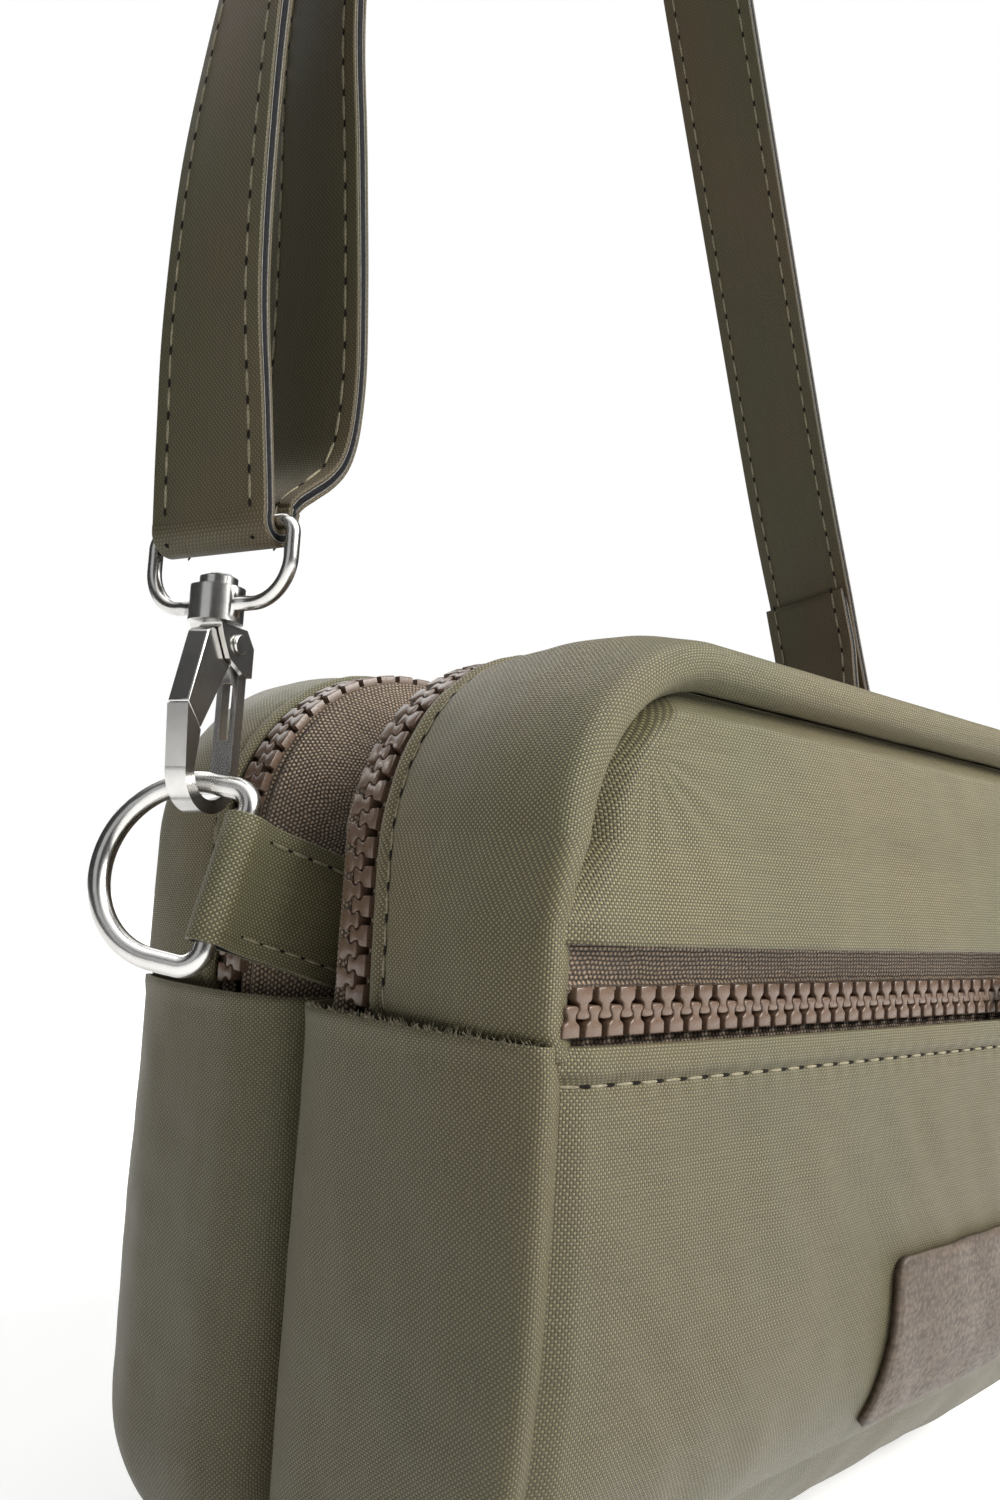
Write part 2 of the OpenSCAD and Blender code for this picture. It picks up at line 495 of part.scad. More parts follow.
// ---- swivel eye: collar round the post, wire loop above it
eye_r = eye_wire / 2;
eye_half = eye_width / 2 - eye_r;
eye_base = 26.0;
eye_low_r = 6.4;
eye_top_r = 2.0;
eye_bar = 37.6;
module eye_body() {
    difference() {
        union() {
            translate([0, 0, collar_lo]) cylinder(h = collar_hi - collar_lo, d = 8, $fn = 48);
            for (s = [-1, 1]) translate([0, 0, eye_base]) rotate([0, s * 90, 0])
                cylinder(h = eye_half - eye_low_r, d = eye_wire, $fn = 24);
        }
        translate([0, 0, collar_lo - 1]) cylinder(h = 20, d = post_d + 2 * swivel_clear, $fn = 40);
    }
    for (s = [-1, 1]) {
        translate([s * (eye_half - eye_low_r), 0, eye_base + eye_low_r])
            arc_wire(eye_low_r, s > 0 ? -90 : 180, s > 0 ? 0 : 270, eye_wire);
        translate([s * eye_half, 0, eye_base + eye_low_r])
            cylinder(h = eye_bar - eye_top_r - eye_base - eye_low_r, d = eye_wire, $fn = 24);
        translate([s * (eye_half - eye_top_r), 0, eye_bar - eye_top_r])
            arc_wire(eye_top_r, s > 0 ? 0 : 90, s > 0 ? 90 : 180, eye_wire);
    }
    translate([0, 0, eye_bar]) rotate([0, 90, 0])
        cylinder(h = 2 * (eye_half - eye_top_r), d = eye_wire, center = true, $fn = 24);
}
eye_turn_l = -75;
eye_turn_r = 90;
module eye_left() { color(nickel) hang(0) rotate([0, 0, eye_turn_l]) eye_body(); }
module eye_right() { color(nickel) hang(1) rotate([0, 0, eye_turn_r]) eye_body(); }
// ---- strap: one ribbon from the adjuster, round the left eye, over the top, round the right eye
function spin_r(v) = let (a = -hook_lean_back, b = -hook_lean,
    p = [v[0], v[1] * cos(a) - v[2] * sin(a), v[1] * sin(a) + v[2] * cos(a)])
    [p[0] * cos(b) + p[2] * sin(b), p[1], -p[0] * sin(b) + p[2] * cos(b)];
eye_l = touch_l + [0, 0, eye_bar];
eye_rt = touch_r + spin_r([0, 0, eye_bar]);
turn_r = eye_r + 0.2 + strap_thick / 2;
// the route below is drawn for an eye bar at route_z and follows the left eye
route_z = 133.48;
route_lift = eye_l[2] - route_z;
function lifted(c) = [for (p = c) [p[0], p[1], p[2] + route_lift, p[3]]];
strap_apex = seam_height + strap_rise;
adj = [-76.5, 17, 300 + route_lift];
adj_bar = 1.2;
adj_turn = adj_bar + 0.15 + strap_thick / 2;
function mix3(a, b, c, d, t) = 0.5 * ((2 * b) + (c - a) * t + (2 * a - 5 * b + 4 * c - d) * t * t
    + (3 * b - a - 3 * c + d) * t * t * t);
function smooth_run(c, n) = [for (i = [1:len(c) - 3]) for (k = [0:n - 1]) mix3(c[i - 1], c[i], c[i + 1], c[i + 2], k / n)];
// each entry is [x, y, z, twist]
tail_l = [[adj[0] - adj_turn, adj[1], adj[2] - 14, -6], [adj[0] - adj_turn, adj[1], adj[2] - 5, -6]];
wrap_a = [for (a = [180:-22.5:0]) [adj[0] + adj_turn * cos(a), adj[1], adj[2] + adj_turn * sin(a), -6]];
inner_c = concat(lifted([[adj[0] + adj_turn, 17, 304, -6], [adj[0] + adj_turn, 17, 299, -6], [-75.0, 16.6, 282, -7],
    [-79.5, 15.6, 248, -7], [-81.2, 14.5, 217, -3], [-80.2, 13.6, 194, 1], [-79.0, 13.2, 172, 5], [-78.9, 13.1, 156, 9],
    [-81.0, 13.4, 145, 12]]), [eye_side(1.6, 4), eye_side(0, 0), eye_side(-0.4, -2)]);
function eye_side(out, up) = [eye_l[0] + (turn_r + out) * cos(15), eye_l[1] + (turn_r + out) * sin(15), eye_l[2] + up, 15];
wrap_b = [for (a = [0:-22.5:-180]) [eye_l[0] + turn_r * cos(a) * cos(15), eye_l[1] + turn_r * cos(a) * sin(15),
    eye_l[2] + turn_r * sin(a), 15]];
outer_c = concat([eye_side(-2 * turn_r + 0.3, -3), eye_side(-2 * turn_r, 1)],
    lifted([[-95.4, 13.1, 149, 12], [-96.8, 13.1, 167, 7], [-96.6, 13.4, 191, 3], [-94.5, 14, 216, -3],
    [-90.3, 15, 245, -7], [-84.6, 16.4, 276, -7], [-82.2, 17, 291, -6], [-82.0, 17, 300, -6], [-82.0, 17, 309, -6],
    [-78.6, 17.8, 325, -4], [-65, 19.4, 357, -2], [-47, 20.4, 379, 0]]), [[-28, 21, strap_apex, 0]],
    lifted([[-9, 21.4, 377, 0], [6, 21.6, 349, 0], [26, 21.8, 297, 0], [49, 21.9, 238, 0], [69, 21.9, 187, 0]]),
    [eye_tail(1, 22), eye_tail(1, 2), eye_tail(1, -3)]);
function eye_tail(s, up) = let (p = spin_r([s * turn_r, 0, up])) [eye_rt[0] + p[0], eye_rt[1] + p[1], eye_rt[2] + p[2], 0];
wrap_c = [for (a = [0:-22.5:-180]) let (p = spin_r([turn_r * cos(a), 0, turn_r * sin(a)]))
    [eye_rt[0] + p[0], eye_rt[1] + p[1], eye_rt[2] + p[2], 0]];
tail_c = [for (h = [3, 8, 14, 21, 28]) let (k = clamp01((h - 2.5) / 11.5), p = spin_r([-turn_r * (1 - k)
    + (turn_r - strap_thick - 0.3) * k, 0, h])) [eye_rt[0] + p[0], eye_rt[1] + p[1], eye_rt[2] + p[2], 0]];
ribbon = concat(tail_l, wrap_a, smooth_run(inner_c, 4), wrap_b, smooth_run(outer_c, 4), wrap_c, tail_c);
function head3(v) = [v[0], v[1], v[2]];
// the right run turns with the leaning eye on its way down from the highest point
bar_way = spin_r([0, -1, 0]);
function lean_share(p) = p[0] > -28 ? clamp01((strap_apex - p[2]) / (strap_apex - eye_rt[2] - 24)) : 0;
function cross_at(i) = let (m = len(ribbon), p = head3(ribbon[i]), a = ribbon[i][3],
    q = head3(ribbon[min(m - 1, i + 1)]), o = head3(ribbon[max(0, i - 1)]), t = unit3(q - o),
    w0 = lerp([sin(a), -cos(a), 0], bar_way, lean_share(p)), w = unit3(w0 - (w0 * t) * t), n = cross(t, w), x = strap_width / 2, h = strap_thick / 2,
    c = 0.5) [for (k = [[-x + c, h], [x - c, h], [x, h - c], [x, -h + c], [x - c, -h], [-x + c, -h], [-x, -h + c], [-x, h - c]])
    p + w * k[0] + n * k[1]];
module strap_webbing() {
    color(olive) skin([for (i = [0:len(ribbon) - 1]) cross_at(i)]);
}
module strap_adjuster() {
    w = strap_width / 2 + 0.6;
    run = adj_turn + strap_thick + 0.35 + 0.55;
    color(nickel) translate(adj) rotate([0, 0, -6]) {
        translate([0, -w - 0.5, 0]) rotate([-90, 0, 0]) cylinder(h = 2 * w + 1, r = adj_bar, $fn = 32);
        for (s = [-1, 1]) {
            translate([-run - 2.4, -w - 0.5, s * 7.5]) rotate([-90, 0, 0]) cylinder(h = 2 * w + 1, r = adj_bar, $fn = 32);
            translate([0, s * (w + 0.8), 0]) rotate([90, 0, 0]) translate([0, 0, -0.8]) linear_extrude(height = 1.6)
                polygon([[1.4, -1.8], [1.4, 1.8], [-run - 1.2, 8.9], [-run - 3.8, 8.9], [-run - 3.8, -8.9], [-run - 1.2, -8.9]]);
        }
    }
}
// ---- zip sliders: drawn over a chain lying flat, travel along X, face up
slider_len = 11;
slider_half = chain_half + hem_gap - 0.3;
slider_lip = slider_half - chain_half - 0.1;
bridge_rise = 3.9;
module slider_plan(inset) {
    w = slider_half - inset;
    hull() for (s = [-1, 1]) {
        translate([slider_len / 2 - 2.2 - inset, s * (w - 1.6)]) circle(r = 1.6, $fn = 32);
        translate([-slider_len / 2 + 1.2 + inset, s * (w - 1.2)]) circle(r = 1.2, $fn = 32);
    }
}
module slider_body() {
    z0 = tooth_thick / 2 + chain_gap;
    translate([0, 0, z0]) linear_extrude(height = 1.0) slider_plan(0);
    translate([0, 0, z0 + 0.99]) linear_extrude(height = 0.5) slider_plan(0.5);
    for (s = [-1, 1]) translate([-slider_len / 2 + 1.6, s > 0 ? slider_half - slider_lip : -slider_half, -0.1])
        cube([slider_len - 4.4, slider_lip, z0 + 0.6]);
    rotate([90, 0, 0]) translate([0, 0, -1.1]) linear_extrude(height = 2.2) difference() {
        polygon([[-4.4, z0 + 1.2], [-3.9, z0 + 4.2], [-2.6, z0 + 5.2], [2.6, z0 + 5.2], [3.9, z0 + 4.2], [4.4, z0 + 1.2]]);
        polygon([[-2.6, z0 + 1.2], [-2.3, z0 + 3.4], [-1.8, z0 + bridge_rise], [1.8, z0 + bridge_rise],
            [2.3, z0 + 3.4], [2.6, z0 + 1.2]]);
    }
}
// pull: frame round the slider's bridge, tapered blade with a slot trailing toward -X
pull_thick = 1.4;
module pull_body() {
    z0 = tooth_thick / 2 + chain_gap + 2.85;
    translate([0, 0, z0 - pull_thick / 2]) linear_extrude(height = pull_thick) difference() {
        hull() {
            for (s = [-1, 1]) translate([-1.2, s * 2.0]) circle(r = 1.2, $fn = 32);
            for (s = [-1, 1]) translate([-25.6, s * 1.4]) circle(r = 2.4, $fn = 32);
            for (s = [-1, 1]) translate([-12, s * 1.2]) circle(r = 1.4, $fn = 32);
        }
        hull() for (x = [-10.2, -0.2]) translate([x, 0]) for (s = [-1, 1]) translate([0, s * 0.9]) circle(r = 0.8, $fn = 24);
        translate([0, -1.7]) square([4, 3.4]);
        hull() for (x = [-25, -15]) translate([x, 0]) circle(r = 1.2, $fn = 32);
    }
    translate([0, -3.2, z0]) rotate([-90, 0, 0]) cylinder(h = 6.4, d = 1.8, $fn = 32);
}
park_x = arc_cx - 8;
pocket_park = hw - 16;
module on_top(y0) { translate([park_x, y0, bag_height - zip_sink]) children(); }
module on_pocket() { translate([pocket_park, pocket_y0, pocket_zip_z]) rotate([90, 0, 0]) children(); }
module front_slider() { color(brown) on_top(front_zip_y) slider_body(); }
module rear_slider() { color(brown) on_top(rear_zip_y) slider_body(); }
module pocket_slider() { color(brown) on_pocket() slider_body(); }
module front_pull() { color(nickel) on_top(front_zip_y) pull_body(); }
module rear_pull() { color(nickel) on_top(rear_zip_y) pull_body(); }
module pocket_pull() { color(nickel) on_pocket() pull_body(); }

pocket_panel();
front_panel();
pocket_back_wall();
rear_panel();
front_inner_wall();
rear_inner_wall();
front_top_gusset();
rear_top_gusset();
front_base_gusset();
rear_base_gusset();
front_tape_outer();
front_tape_inner();
rear_tape_inner();
rear_tape_outer();
pocket_tape_upper();
pocket_tape_lower();
front_teeth_outer();
front_teeth_inner();
rear_teeth_inner();
rear_teeth_outer();
pocket_teeth_upper();
pocket_teeth_lower();
label_patch();
tab_left();
tab_right();
ring_left();
ring_right();
hook_left();
hook_right();
gate_left();
gate_right();
gate_rivet_left();
gate_rivet_right();
gate_spring_left();
gate_spring_right();
eye_left();
eye_right();
strap_webbing();
strap_adjuster();
front_slider();
rear_slider();
pocket_slider();
front_pull();
rear_pull();
pocket_pull();
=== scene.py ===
import bisect
import math
import random

import bmesh
import bpy
from mathutils import Matrix, Vector, noise


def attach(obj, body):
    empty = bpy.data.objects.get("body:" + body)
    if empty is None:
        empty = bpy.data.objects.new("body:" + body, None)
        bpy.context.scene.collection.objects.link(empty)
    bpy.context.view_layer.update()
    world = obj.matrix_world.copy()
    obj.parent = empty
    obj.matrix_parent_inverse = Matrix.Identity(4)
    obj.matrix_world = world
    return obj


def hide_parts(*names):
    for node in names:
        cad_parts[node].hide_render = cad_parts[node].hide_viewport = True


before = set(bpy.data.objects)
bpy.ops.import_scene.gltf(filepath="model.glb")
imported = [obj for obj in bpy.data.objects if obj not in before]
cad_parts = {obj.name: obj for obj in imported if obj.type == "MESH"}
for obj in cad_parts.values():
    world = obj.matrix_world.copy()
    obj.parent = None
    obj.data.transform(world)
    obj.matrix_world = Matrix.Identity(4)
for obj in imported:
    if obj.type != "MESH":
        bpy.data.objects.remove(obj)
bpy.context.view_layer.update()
mm = 0.001
print("frame loaded,", len(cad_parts), "nodes")

def turnTo(x, y, z):
    return Matrix((x, y, z)).transposed().to_4x4()


# ---- camera and light
cameraSet = dict(
    place=(-186.47, -145.04, 105.83),  # mm, in the bag's frame
    yaw=44.22,  # degrees from the depth axis toward the right
    pitch=6.18,
    roll=3.51,
    focalPixels=1245.45,
    longSide=1500,
    sensor=36.0,
)


def makeCamera():
    data = bpy.data.cameras.new("photoCamera")
    data.sensor_width = cameraSet["sensor"]
    data.lens = cameraSet["sensor"] * cameraSet["focalPixels"] / cameraSet["longSide"]
    data.clip_start = 0.005
    yaw, pitch, roll = (math.radians(cameraSet[k]) for k in ("yaw", "pitch", "roll"))
    ahead = Vector((math.sin(yaw) * math.cos(pitch), math.cos(yaw) * math.cos(pitch), math.sin(pitch)))
    level = Vector((math.cos(yaw), -math.sin(yaw), 0))
    above = level.cross(ahead)
    side = math.cos(roll) * level + math.sin(roll) * above
    top = -math.sin(roll) * level + math.cos(roll) * above
    camera = bpy.data.objects.new("photoCamera", data)
    bpy.context.scene.collection.objects.link(camera)
    turn = turnTo(side, top, -ahead)
    camera.matrix_world = Matrix.Translation(Vector(cameraSet["place"]) * mm) @ turn
    bpy.context.scene.camera = camera


lampSet = dict(
    key=dict(place=(0.35, -0.95, 0.85), aim=(0, 0, 0.07), size=0.9, power=26.0, colour=(1.0, 0.985, 0.955)),
    top=dict(place=(-0.1, 0.1, 1.2), aim=(0, 0, 0.1), size=0.9, power=5.0, colour=(1.0, 1.0, 1.0)),
    fill=dict(place=(-1.1, -0.2, 0.45), aim=(0, 0, 0.08), size=0.8, power=0.9, colour=(0.97, 0.985, 1.0)),
    back=dict(place=(0.2, 1.1, 0.8), aim=(0, 0, 0.08), size=0.9, power=4.0, colour=(1.0, 1.0, 1.0)),
)


def makeLamps():
    for name, lamp in lampSet.items():
        data = bpy.data.lights.new(name + "Lamp", "AREA")
        data.shape = "DISK"
        data.size = lamp["size"]
        data.energy = lamp["power"]
        data.color = lamp["colour"]
        thing = bpy.data.objects.new(name + "Lamp", data)
        bpy.context.scene.collection.objects.link(thing)
        thing.location = lamp["place"]
        toward = Vector(lamp["aim"]) - Vector(lamp["place"])
        thing.rotation_mode = "QUATERNION"
        thing.rotation_quaternion = toward.to_track_quat("-Z", "Y")


# ---- shader maths: one socket that answers to the arithmetic signs
def sign(operation, swapped=False):
    def apply(wire, other):
        return wire.maths(operation, other, wire) if swapped else wire.maths(operation, wire, other)

    return apply


class Wire:
    def __init__(self, finish, socket):
        self.finish = finish
        self.socket = socket

    def maths(self, operation, *values):
        return self.finish.node("ShaderNodeMath", dict(operation=operation), dict(enumerate(values)))

    __add__, __radd__ = sign("ADD"), sign("ADD", True)
    __sub__, __rsub__ = sign("SUBTRACT"), sign("SUBTRACT", True)
    __mul__, __rmul__ = sign("MULTIPLY"), sign("MULTIPLY", True)
    __truediv__, __pow__ = sign("DIVIDE"), sign("POWER")

    def __abs__(self):
        return self.maths("ABSOLUTE", self)

    def sine(self):
        return self.maths("SINE", self)

    def fraction(self):
        return self.maths("FRACT", self)

    def above(self, edge, soft):
        return self.finish.node(
            "ShaderNodeMapRange",
            dict(interpolation_type="SMOOTHSTEP"),
            {"Value": self, "From Min": edge - soft, "From Max": edge + soft},
        )


class Finish:
    def __init__(self, name, **constants):
        self.material = bpy.data.materials.new(name)
        self.material.use_nodes = True
        self.tree = self.material.node_tree
        self.shader = self.tree.nodes["Principled BSDF"]
        for key, value in constants.items():
            self.shader.inputs[key.replace("_", " ")].default_value = value

    def feed(self, socket, value):
        if isinstance(value, Wire):
            self.tree.links.new(value.socket, socket)
        elif isinstance(value, tuple) and len(value) == 3 and socket.type == "RGBA":
            socket.default_value = (*value, 1)
        else:
            socket.default_value = value

    def node(self, kind, settings=None, values=None, out=0):
        made = self.tree.nodes.new(kind)
        for key, value in (settings or {}).items():
            setattr(made, key, value)
        for key, value in (values or {}).items():
            self.feed(made.inputs[key], value)
        return Wire(self, made.outputs[out])

    def mix(self, share, first, second, blend="MIX"):
        return self.node(
            "ShaderNodeMix",
            dict(data_type="RGBA", blend_type=blend),
            {0: share, 6: first, 7: second},
            out=2,
        )

    def noise(self, scale, detail, place=None):
        return self.node(
            "ShaderNodeTexNoise",
            dict(noise_dimensions="3D"),
            {"Vector": place or self.objectPlace(), "Scale": scale, "Detail": detail, "Roughness": 0.55},
        )

    def objectPlace(self):
        return self.node("ShaderNodeTexCoord", out=3)

    def clothPlace(self):
        return self.node("ShaderNodeUVMap", dict(uv_map="cloth"))

    def split(self, place):
        parts = self.tree.nodes.new("ShaderNodeSeparateXYZ")
        self.tree.links.new(place.socket, parts.inputs[0])
        return [Wire(self, s) for s in parts.outputs]

    def stretched(self, place, scale, turn=0.0):
        return self.node(
            "ShaderNodeMapping",
            dict(vector_type="POINT"),
            {"Vector": place, "Rotation": (0, 0, turn), "Scale": scale},
        )

    def ray(self, kind):
        return self.node("ShaderNodeLightPath", out=f"Is {kind} Ray")

    def seenBy(self, one, other):
        return self.ray(one).maths("MAXIMUM", self.ray(one), self.ray(other))

    def colour(self, wire):
        self.feed(self.shader.inputs["Base Color"], wire)

    def rough(self, wire):
        self.feed(self.shader.inputs["Roughness"], wire)

    def bump(self, height, distance):
        made = self.node("ShaderNodeBump", None, {"Height": height, "Distance": distance, "Strength": 1.0})
        self.feed(self.shader.inputs["Normal"], made)


# ---- finishes
def wovenCloth(name, pitch, pale, deep, green, brown, depth, roughness, sheen=0.08, footShade=0.0):
    finish = Finish(name, Roughness=roughness, Sheen_Weight=sheen, Sheen_Roughness=0.4, Specular_IOR_Level=0.40)
    cloth = finish.clothPlace()
    wobble = finish.noise(160.0, 2.0)
    along, across, _ = finish.split(cloth)
    x = along / pitch[0] + wobble * 0.6
    y = across / pitch[1] + wobble * 0.6
    sx = (x * math.pi).sine()
    sy = (y * math.pi).sine()
    weftUp = (sx * sy).above(0.0, 0.30)
    ax = abs(sx)
    ay = abs(sy)
    weft = ay * (ax ** 0.5)
    warp = ax * (ay ** 0.5)
    height = weft * weftUp + warp * (1.0 - weftUp) * 0.75
    slubs = finish.noise(1.0, 2.0, finish.stretched(cloth, (110, 2600, 1)))
    gleam = finish.noise(1.0, 1.0, finish.stretched(cloth, (1500, 900, 1)))
    lightness = weft * weftUp * (0.55 + gleam * 0.5) + warp * (1.0 - weftUp) * 0.22 + (slubs - 0.5) * 0.30
    blotch = finish.noise(26.0, 3.0, finish.stretched(finish.objectPlace(), (1, 1, 0.6)))
    # long stretched streaks that stand for creases; they dent the bump and, below, darken the colour as painted shade
    creaseAndShade = finish.noise(1.0, 4.0, finish.stretched(cloth, (16, 120, 1), 0.4))
    colour = finish.mix(lightness.above(0.42, 0.44), deep, pale)
    tint = finish.mix(blotch.above(0.5, 0.14), green, brown)
    colour = finish.mix(0.7, colour, finish.mix(1.0, colour, tint, "OVERLAY"))
    # painted shade: the colour is pulled toward deep along the crease streaks
    colour = finish.mix(creaseAndShade.above(0.64, 0.18) * 0.20, colour, deep)
    # painted shade: below 108 mm the canvas is pulled toward deep, most strongly below 64 mm
    if footShade:
        up = finish.split(finish.objectPlace())[2]
        colour = finish.mix((1.0 - up.above(0.086, 0.022)) * footShade, colour, deep)
    finish.colour(colour)
    finish.rough(roughness + (blotch - 0.5) * 0.14 - height * 0.10)
    finish.bump(height + creaseAndShade * 0.2, depth)
    return finish.material


def wovenTape(name, pitch, pale, deep, depth):
    finish = Finish(name, Roughness=0.6, Sheen_Weight=0.1, Specular_IOR_Level=0.4)
    along, across, _ = finish.split(finish.clothPlace())
    wobble = finish.noise(300.0, 2.0)
    x = along / pitch[0] + wobble * 0.9
    y = across / pitch[1] + wobble * 0.9
    row = (y * 0.5).fraction().above(0.5, 0.04)
    shifted = (x + row * 0.5).fraction()
    bead = (1.0 - abs(shifted - 0.5) * 2.0) ** 0.6
    line = abs((y * math.pi).sine()) ** 0.6
    height = bead * line
    fuzz = finish.noise(3200.0, 2.0)
    wear = finish.noise(70.0, 3.0)
    colour = finish.mix((height * 0.8 + (fuzz - 0.5) * 0.9).above(0.55, 0.35), deep, pale)
    finish.colour(finish.mix(wear.above(0.6, 0.2) * 0.35, colour, deep))
    finish.rough(0.72 - height * 0.25)
    finish.bump(height + fuzz * 0.2, depth)
    return finish.material


def mouldedPlastic(name, tone, deep, roughness):
    finish = Finish(name, Roughness=roughness, Specular_IOR_Level=0.5)
    cloud = finish.noise(90.0, 3.0)
    grain = finish.noise(1900.0, 2.0)
    finish.colour(finish.mix(cloud.above(0.5, 0.3) * 0.6, tone, deep))
    finish.rough(roughness + (grain - 0.5) * 0.25)
    finish.bump(grain, 0.02 * mm)
    return finish.material


def platedMetal(name, tone, dull, roughness):
    finish = Finish(name, Metallic=1.0, Roughness=roughness)
    cloud = finish.noise(260.0, 4.0)
    lines = finish.noise(1.0, 2.0, finish.stretched(finish.objectPlace(), (4200, 4200, 260)))
    finish.colour(finish.mix(cloud.above(0.58, 0.2) * 0.5, tone, dull))
    finish.rough(roughness + (cloud - 0.5) * 0.12 + (lines - 0.5) * 0.06)
    finish.bump(cloud * 0.6 + lines * 0.2, 0.012 * mm)
    return finish.material


def grainedLeather(name, pale, deep):
    finish = Finish(name, Roughness=0.5, Specular_IOR_Level=0.45)
    place = finish.objectPlace()
    pebbles = finish.node(
        "ShaderNodeTexVoronoi", dict(feature="SMOOTH_F1"), {"Vector": place, "Scale": 1250.0, "Smoothness": 0.6}
    )
    streak = finish.noise(1.0, 4.0, finish.stretched(place, (120, 120, 900)))
    finish.colour(finish.mix((streak * 0.7 + pebbles * 0.4).above(0.55, 0.25), pale, deep))
    finish.rough(0.42 + pebbles * 0.2)
    finish.bump(1.0 - pebbles + streak * 0.3, 0.06 * mm)
    return finish.material


def softFoam(name, tone, deep):
    finish = Finish(name, Roughness=0.9, Specular_IOR_Level=0.2)
    speck = finish.noise(2200.0, 3.0)
    finish.colour(finish.mix(speck.above(0.5, 0.2), deep, tone))
    finish.bump(speck, 0.05 * mm)
    return finish.material


def sewingThread(name, tone, deep):
    finish = Finish(name, Roughness=0.6, Sheen_Weight=0.1)
    twist = finish.noise(3600.0, 2.0)
    finish.colour(finish.mix(twist.above(0.5, 0.15), deep, tone))
    finish.bump(twist, 0.04 * mm)
    return finish.material


finishes = dict(
    canvas=wovenCloth(
        "olive_canvas",
        pitch=(0.34 * mm, 0.40 * mm),  # from thread to thread, along and across
        pale=(0.298, 0.266, 0.152),
        deep=(0.057, 0.049, 0.024),
        green=(0.45, 0.48, 0.42),
        brown=(0.53, 0.49, 0.43),
        depth=0.10 * mm,
        roughness=0.50,
        footShade=0.40,
    ),
    strapCanvas=wovenCloth(
        "strap_canvas",
        pitch=(0.40 * mm, 0.34 * mm),
        pale=(0.150, 0.125, 0.075),
        deep=(0.050, 0.040, 0.023),
        green=(0.40, 0.46, 0.33),
        brown=(0.56, 0.46, 0.38),
        depth=0.06 * mm,
        roughness=0.62,
        sheen=0.0,
    ),
    lining=wovenCloth(
        "lining",
        pitch=(0.4 * mm, 0.4 * mm),
        pale=(0.12, 0.11, 0.08),
        deep=(0.06, 0.055, 0.04),
        green=(0.5, 0.5, 0.5),
        brown=(0.5, 0.5, 0.5),
        depth=0.05 * mm,
        roughness=0.7,
    ),
    tape=wovenTape(
        "zip_tape", pitch=(0.80 * mm, 0.60 * mm), pale=(0.46, 0.335, 0.225), deep=(0.042, 0.029, 0.018), depth=0.3 * mm
    ),
    teeth=mouldedPlastic("moulded_teeth", tone=(0.135, 0.086, 0.058), deep=(0.105, 0.066, 0.045), roughness=0.3),
    slider=platedMetal("painted_slider", tone=(0.20, 0.15, 0.115), dull=(0.13, 0.10, 0.08), roughness=0.34),
    nickel=platedMetal("bright_nickel", tone=(0.62, 0.61, 0.59), dull=(0.46, 0.45, 0.43), roughness=0.23),
    leather=grainedLeather("brown_leather", pale=(0.100, 0.070, 0.047), deep=(0.042, 0.029, 0.019)),
    core=softFoam("black_core", tone=(0.012, 0.012, 0.015), deep=(0.004, 0.004, 0.005)),
    backing=softFoam("grey_backing", tone=(0.24, 0.23, 0.21), deep=(0.15, 0.145, 0.13)),
    thread=sewingThread("olive_thread", tone=(0.30, 0.265, 0.17), deep=(0.15, 0.13, 0.08)),
    # painted shade: near-black blobs set where the stitches dive into the cloth
    holeShade=softFoam("needle_hole_shade", tone=(0.012, 0.010, 0.007), deep=(0.006, 0.005, 0.004)),
)
print("finishes made")

# ---- sizes of the bag, mm, as in its construction
bag = dict(
    halfWidth=80.0,
    frontY=-46.0,
    rearY=46.0,
    height=140.0,
    topRadius=30.0,
    baseRadius=18.0,
    seamHeight=88.0,
    baseLift=3.0,
    footRecess=30.0,
    footTuck=5.0,
    bulge=4.5,
    valleyY=5.5,
    frontZip=-9.5,
    rearZip=20.5,
    zipSink=1.0,
    chainHalf=2.95,
    toothThick=2.6,
    pocketZip=91.5,
    rearEdge=2.3,
    seamGap=0.4,  # the lower strip stops this far under the cross seam
    weltStart=14.0,  # above the seam, where the rolled edge begins
    weltGrowth=10.0,
    welt=6.0,
)
halfWidth, frontY, rearY, valleyY = (bag[k] for k in ("halfWidth", "frontY", "rearY", "valleyY"))
seam, bagHeight, baseLift, welt = (bag[k] for k in ("seamHeight", "height", "baseLift", "welt"))
topRadius, baseRadius, frontZip, rearZip = (bag[k] for k in ("topRadius", "baseRadius", "frontZip", "rearZip"))
arcX = halfWidth - topRadius
arcZ = bagHeight - topRadius
lowX = halfWidth - baseRadius
lowZ = baseLift + baseRadius
quarterTop = math.pi / 2 * topRadius
quarterLow = math.pi / 2 * baseRadius
upperLeg = arcZ - seam
lowerTop = seam - bag["seamGap"]
lowerLeg = lowerTop - lowZ
upperLength = 2 * (upperLeg + quarterTop + arcX)
lowerLength = 2 * (lowerLeg + quarterLow + lowX)


def held(value, low=0.0, high=1.0):
    return max(low, min(high, value))


def blendOf(a, b, t):
    return a + (b - a) * t


def eased(value):
    t = held(value)
    return t * t * (3 - 2 * t)


def hump(value, width):
    return math.exp(-((value / width) ** 2))


# a walk round half the outline, mirrored for the other half: (x, z, outward x, outward z)
def upperAt(s):
    if s > upperLength / 2:
        x, z, nx, nz = upperAt(upperLength - s)
        return -x, z, -nx, nz
    if s <= upperLeg:
        return -halfWidth, seam + s, -1.0, 0.0
    s -= upperLeg
    if s <= quarterTop:
        a = math.pi - s / topRadius
        return -arcX + topRadius * math.cos(a), arcZ + topRadius * math.sin(a), math.cos(a), math.sin(a)
    return -arcX + s - quarterTop, bagHeight, 0.0, 1.0


